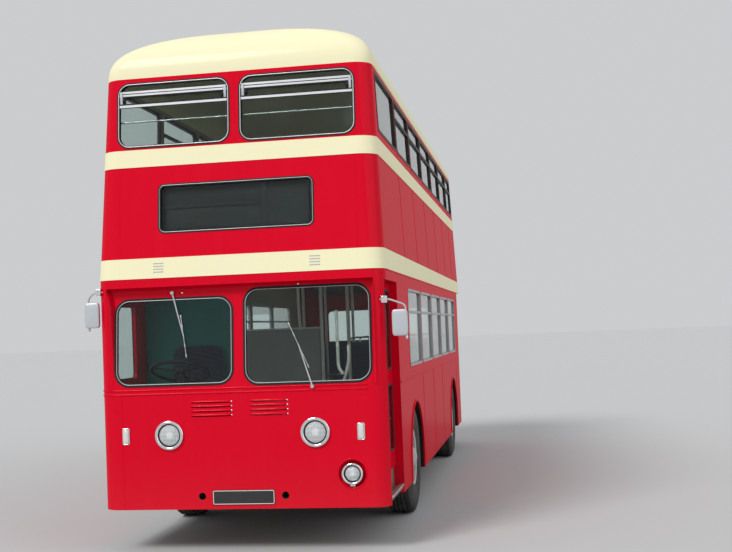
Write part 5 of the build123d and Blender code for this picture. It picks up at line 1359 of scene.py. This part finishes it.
class BUS_OT_wipers(BusOperator, bpy.types.Operator):
    """Wiper arms with their blades and rubbers"""
    bl_idname = "bus.wipers"
    bl_label = "Wipers"

    def make(self):
        for wiper in WIPERS:
            self.wiper(*wiper)
        jets = [spun(JET, (x, screen_y(z), z), "Y", 16) for x, z in JETS_AT]
        piece("washer_jets", jets, "chrome")

    def wiper(self, word, x, z, reach, slant, length, tilt):
        """Slim bars in the windscreen's leaning plane; the blade tilts about the arm's end."""
        lean = math.atan(SCREEN_DEPTH / (SCREEN_HEAD - SCREEN_FOOT))
        place = (Matrix.Translation((x, screen_y(z), z)) @ Matrix.Rotation(-lean, 4, "X")
                 @ Matrix.Rotation(math.radians(slant), 4, "Y"))
        turn, shift = np.array(place.to_3x3()), np.array(place.translation)
        tip = np.array(Matrix.Rotation(math.radians(tilt), 3, "Y"))

        def placed(shape):
            """A shape of the arm, turned about the pivot and put there."""
            return moved(shape, lambda p: p @ turn.T + shift)

        def held(x, y, z, radius):
            """A block of the blade, turned about the arm's end."""
            return placed(moved(block(x, y, z, radius), lambda p: p @ tip.T + (0, 0, -reach)))

        along = np.linspace(0, reach, 14)
        path = np.column_stack([np.zeros(14), -0.019 - 0.004 * np.sin(along / reach * np.pi), -along])
        arm = carried(circle(0.0042, 8) * (1.3, 0.8), path, (0, -1, 0), taper=np.linspace(1.3, 0.75, 14))
        shapes = [placed(arm), placed(spun(BOSS, (0, 0, 0), "Y", 24)), placed(spun(PIN, (0, 0, 0), "Y", 18)),
                  held((-0.003, 0.003), (-0.0175, -0.0125), (-length / 2, length / 2), 0.001)]
        for share in CLAWS:
            middle = share * length
            shapes.append(held((-0.005, 0.005), (-0.0195, -0.0115), about(middle, 0.012), 0.002))
        body = word + "_wiper_arm"
        piece(word + "_wiper_arm_set", shapes, "steel", body, [word + "_wiper"])
        half = length / 2 - 0.003
        rubber = held((-0.0025, 0.0025), (-0.0125, -0.004), (-half, half), 0.001)
        piece(word + "_wiper_rubber", [rubber], "rubber", body)


# Leaves of the entrance: body, front and rear edge behind the front
LEAVES = (("rear_door", 0.483, 0.853), ("front_door", 0.107, 0.477))
# Lower and upper pane of a leaf: bottom, top
PANES = ((0.750, 1.300), (1.440, 2.108))
LEAF_X, LEAF_THICK = HALF - 0.066, 0.030
# Window of the cab door: front, rear, bottom, top
CAB_DOOR_PANE = (FRONT + 0.392, FRONT + 0.898, 1.415, 2.068)


class BUS_OT_doors(BusOperator, bpy.types.Operator):
    """Rubbers, handles and edges of the entrance leaves and the cab door"""
    bl_idname = "bus.doors"
    bl_label = "Door trim"

    def make(self):
        """Rubber sections carried round each pane's rounded outline, and bars bent for handles."""
        for body, d0, d1 in LEAVES:
            rubbers = []
            for z0, z1 in PANES:
                outline = rounded(FRONT + d0 + 0.046, FRONT + d1 - 0.046, z0, z1, 0.030, 6)
                for x, out in ((LEAF_X, 1), (LEAF_X - LEAF_THICK, -1)):
                    path = np.column_stack([np.full(len(outline), x), outline])
                    rubbers.append(carried(half_round(0.022, 0.005), path, (out, 0, 0), True))
            piece(body + "_rubbers", rubbers, "rubber", body)
        inner, bar, y = LEAF_X - LEAF_THICK, LEAF_X - 0.085, FRONT + 0.80
        rail = bent([(inner, y, 1.00), (bar, y, 1.02), (bar, y, 1.62), (inner, y, 1.64)], 0.04)
        piece("leaf_handrail", [carried(circle(0.011), rail, (0, 1, 0))], "rail", "rear_door")
        outline = rounded(*CAB_DOOR_PANE, 0.050, 7)
        path = np.column_stack([np.full(len(outline), -HALF), outline])
        piece("cab_door_rubber", [carried(half_round(0.024, 0.006), path, (-1, 0, 0), True)], "rubber",
              "cab_side_door")
        z, y = 1.20, FRONT + 0.86
        handle = bent([(-HALF + 0.002, y, z), (-HALF - 0.030, y, z), (-HALF - 0.030, y - 0.11, z),
                       (-HALF - 0.016, y - 0.115, z)], 0.02)
        rose = spun([(0.020, 0.002), (0.020, -0.006), (0.011, -0.009)], (-HALF, y, z), "X", 24)
        piece("cab_door_handle", [carried(circle(0.008), handle, (0, 0, 1)), rose], "chrome",
              "cab_side_door")
        nosing = [block((HALF - 0.045, HALF - 0.003), (FRONT + 0.10, FRONT + 0.86), (0.418, 0.436), 0.004)]
        piece("step_nosing", nosing, "aluminium")


# Blinds, the bars between them and the front plate: left, right, bottom, top
BLINDS = ((-0.610, 0.210, 2.872, 3.028), (-0.610, 0.210, 2.674, 2.846), (0.262, 0.610, 2.674, 3.028))
DIVIDERS = ((-0.630, 0.212, 2.847, 2.871), (0.212, 0.260, 2.660, 3.040))
FRONT_PLATE = (-0.253, 0.253, 0.402, 0.508)
BLIND_MIDDLE = 2.85


class BUS_OT_signs(BusOperator, bpy.types.Operator):
    """Blank blinds behind the display glass and the pale edge of the blank plate"""
    bl_idname = "bus.signs"
    bl_label = "Blank signs"

    def make(self):
        """Each blind is a sheet that bows as a sine between its rollers; a line runs round the plate."""
        blinds, dividers = [], []
        y = front_y(BLIND_MIDDLE) + 0.058
        for x0, x1, z0, z1 in BLINDS:
            rows = np.linspace(z0, z1, 12)
            bow = 0.006 * np.sin(np.linspace(0, np.pi, 12))
            near = np.column_stack([np.zeros(12), y + FRONT_LEAN * (rows - BLIND_MIDDLE) - bow, rows])
            ring = np.concatenate([near, near[::-1] + (0, 0.004, 0)])
            blinds.append(lofted([ring + (x, 0, 0) for x in np.linspace(x0, x1, 14)]))
        for x0, x1, z0, z1 in DIVIDERS:
            at = y + FRONT_LEAN * ((z0 + z1) / 2 - BLIND_MIDDLE)
            dividers.append(block((x0, x1), (at - 0.012, at + 0.004), (z0, z1), 0.003))
        piece("blank_blinds", blinds, "blind")
        piece("blind_dividers", dividers, "dash")
        path = stood_up(rounded(*FRONT_PLATE, 0.010, 5), FRONT - 0.008)
        piece("front_plate_edge", [carried(half_round(0.006, 0.0022), path, (0, -1, 0), True)], "white")


# Handrails of the platform: points of each line
RAILS = (((0.770, FRONT + 0.30, 1.95), (0.770, FRONT + 0.30, 1.47), (0.810, FRONT + 0.30, 1.42)),
         ((0.855, FRONT + 0.34, 1.66), (0.855, FRONT + 0.34, 1.52), (0.800, FRONT + 0.32, 1.33)),
         ((0.30, FRONT + 1.10, 1.80), (0.30, FRONT + 1.06, 2.0), (0.30, FRONT + 1.06, 2.44)))
# Dials on the dash: place across, radius; then their place along the bus and their height
DIALS = ((-0.80, 0.052), (-0.65, 0.060), (-0.50, 0.052))
DIALS_Y, DIALS_Z = FRONT + 0.322, 1.357


class BUS_OT_cab(BusOperator, bpy.types.Operator):
    """Dials on the dash, and the white handrails of the platform"""
    bl_idname = "bus.cab"
    bl_label = "Cab and platform"

    def make(self):
        """Rails are round bars bent through their points; each dial is a disc in a stepped ring."""
        rails = [carried(circle(0.014), bent(points, 0.06), (0.2, 1, 0.1)) for points in RAILS]
        rails.append(block((-0.305, 0.476), (FRONT + 1.112, FRONT + 1.148), (1.806, 1.820), 0.004))
        piece("platform_rails", rails, "rail")
        bezels, faces = [], []
        for x, r in DIALS:
            centre = (x, DIALS_Y, DIALS_Z)
            ring = [(r, 0.0), (r + 0.006, 0.002), (r + 0.006, 0.010), (r - 0.004, 0.012), (r - 0.004, 0.002)]
            bezels.append(spun(ring, centre, "Z", 32, True))
            faces.append(spun([(r - 0.004, 0.0), (r - 0.004, 0.004), (0.003, 0.005)], centre, "Z", 32))
        piece("dial_bezels", bezels, "chrome")
        piece("dial_faces", faces, "white")


class BUS_OT_finishes(BusOperator, bpy.types.Operator):
    """Puts each CAD node's finish into its material slots"""
    bl_idname = "bus.finishes"
    bl_label = "Finishes"

    def make(self):
        for finish, nodes in NODE_FINISH.items():
            for name in nodes:
                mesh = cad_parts[name].data
                if not mesh.materials:
                    mesh.materials.append(None)
                for slot in range(len(mesh.materials)):
                    mesh.materials[slot] = material_of(finish)


FLOOR_HALF = 300.0
# Soft suns: turn in degrees, power, spread in degrees
SUNS = {"key_light": ((48, 0, -28), 1.9, 22), "fill_light": ((62, 0, 70), 0.5, 60)}
# Colour of the sky that lights the bus, its strength, and the colour that shows behind it
SKY, SKY_POWER, BACKDROP = (0.86, 0.90, 0.96, 1), 0.62, (0.595, 0.605, 0.615, 1)

# Camera fitted to the photograph: its place, its turn vector from a level view along +Y, its focal length
# and the shift of its middle in pixels of a picture of that width
CAMERA_AT = (2.437423, -14.114829, 1.783641)
CAMERA_TURN = (-0.0293521164, 0.1799579433, -0.0413372340)
FOCAL, SHIFT, PICTURE_WIDTH = 1204.955, (45, 15), 732
SENSOR = 36.0


class BUS_OT_stage(BusOperator, bpy.types.Operator):
    """Floor, soft light and the camera"""
    bl_idname = "bus.stage"
    bl_label = "Stage"

    def make(self):
        scene = bpy.context.scene
        scene.view_settings.view_transform = "Standard"
        self.floor(scene)
        self.sky(scene)
        for name, (turn, power, spread) in SUNS.items():
            lamp = bpy.data.lights.new(name, "SUN")
            lamp.energy = power
            lamp.angle = math.radians(spread)
            holder = bpy.data.objects.new(name, lamp)
            holder.rotation_euler = [math.radians(t) for t in turn]
            scene.collection.objects.link(holder)
        self.camera(scene)

    def floor(self, scene):
        """Wide pale floor."""
        mesh = bpy.data.meshes.new("studio_floor")
        corners = [(x * FLOOR_HALF, y * FLOOR_HALF, 0) for x, y in ((-1, -1), (1, -1), (1, 1), (-1, 1))]
        mesh.from_pydata(corners, [], [(0, 1, 2, 3)])
        floor = bpy.data.objects.new("studio_floor", mesh)
        scene.collection.objects.link(floor)
        f = Finish("studio_floor")
        pale = f.mix(f.noise(3, 3) * 0.1, (0.54, 0.54, 0.53, 1), (0.51, 0.51, 0.50, 1))
        mesh.materials.append(f.done(colour=pale, rough=0.9))

    def sky(self, scene):
        """Even light, with a plain backdrop where it is seen straight, through glass or in gloss."""
        scene.world = bpy.data.worlds.new("studio")
        board = Board(scene.world)
        rays = board.node("ShaderNodeLightPath").socket.node.outputs
        straight, through, gloss = (Wire(board, rays[f"Is {kind} Ray"])
                                    for kind in ("Camera", "Transmission", "Glossy"))
        light = board.node("ShaderNodeBackground", {}, {0: SKY, 1: SKY_POWER})
        backdrop = board.node("ShaderNodeBackground", {}, {0: BACKDROP, 1: 1.0})
        shown = straight.at_least(through).at_least(gloss)
        mixed = board.node("ShaderNodeMixShader", {}, {0: shown, 1: light, 2: backdrop})
        board.node("ShaderNodeOutputWorld", {}, {0: mixed})

    def camera(self, scene):
        """The camera at the photograph's angle, with a slight shift."""
        turn = Vector(CAMERA_TURN)
        base = Matrix(((1, 0, 0), (0, 0, -1), (0, 1, 0)))
        rows = Matrix.Rotation(turn.length, 3, turn.normalized()) @ base
        data = bpy.data.cameras.new("camera")
        data.sensor_fit = "HORIZONTAL"
        data.sensor_width = SENSOR
        data.lens = FOCAL * SENSOR / PICTURE_WIDTH
        data.shift_x, data.shift_y = (pixels / PICTURE_WIDTH for pixels in SHIFT)
        data.clip_end = 200
        camera = bpy.data.objects.new("camera", data)
        axes = Matrix((rows[0], -Vector(rows[1]), -Vector(rows[2]))).transposed()
        camera.matrix_world = Matrix.Translation(CAMERA_AT) @ axes.to_4x4()
        scene.collection.objects.link(camera)
        scene.camera = camera


STEPS = (BUS_OT_stage, BUS_OT_finishes, BUS_OT_tyres, BUS_OT_wheel_nuts, BUS_OT_roof, BUS_OT_seats,
         BUS_OT_front_windows, BUS_OT_mouldings, BUS_OT_grilles, BUS_OT_louvres, BUS_OT_front_lamps,
         BUS_OT_rear_fittings, BUS_OT_mirrors, BUS_OT_wipers, BUS_OT_doors, BUS_OT_signs, BUS_OT_cab)


class BUS_PT_panel(bpy.types.Panel):
    """Lists the steps that dress the bus, and its sizes and colours"""
    bl_idname = "BUS_PT_panel"
    bl_label = "Double decker bus"
    bl_space_type = "VIEW_3D"
    bl_region_type = "UI"
    bl_category = "Bus"

    def draw(self, context):
        for group in (context.scene.bus_sizes, context.scene.bus_finish):
            for name in group.bl_rna.properties.keys():
                if name not in ("rna_type", "name"):
                    self.layout.prop(group, name)
        for step in STEPS:
            self.layout.operator(step.bl_idname)


CLASSES = (BusSizes, BusFinish) + STEPS + (BUS_PT_panel,)


def register():
    """Makes the classes known, and hangs the sizes and colours on the scene."""
    for cls in CLASSES:
        bpy.utils.register_class(cls)
    bpy.types.Scene.bus_sizes = bpy.props.PointerProperty(type=BusSizes)
    bpy.types.Scene.bus_finish = bpy.props.PointerProperty(type=BusFinish)


def unregister():
    """Takes back what register() added, last thing first."""
    del bpy.types.Scene.bus_finish
    del bpy.types.Scene.bus_sizes
    for cls in reversed(CLASSES):
        bpy.utils.unregister_class(cls)


def main():
    """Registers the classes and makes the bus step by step."""
    register()
    for step in STEPS:
        group, name = step.bl_idname.split(".")
        getattr(getattr(bpy.ops, group), name)()


if __name__ == "__main__":
    main()
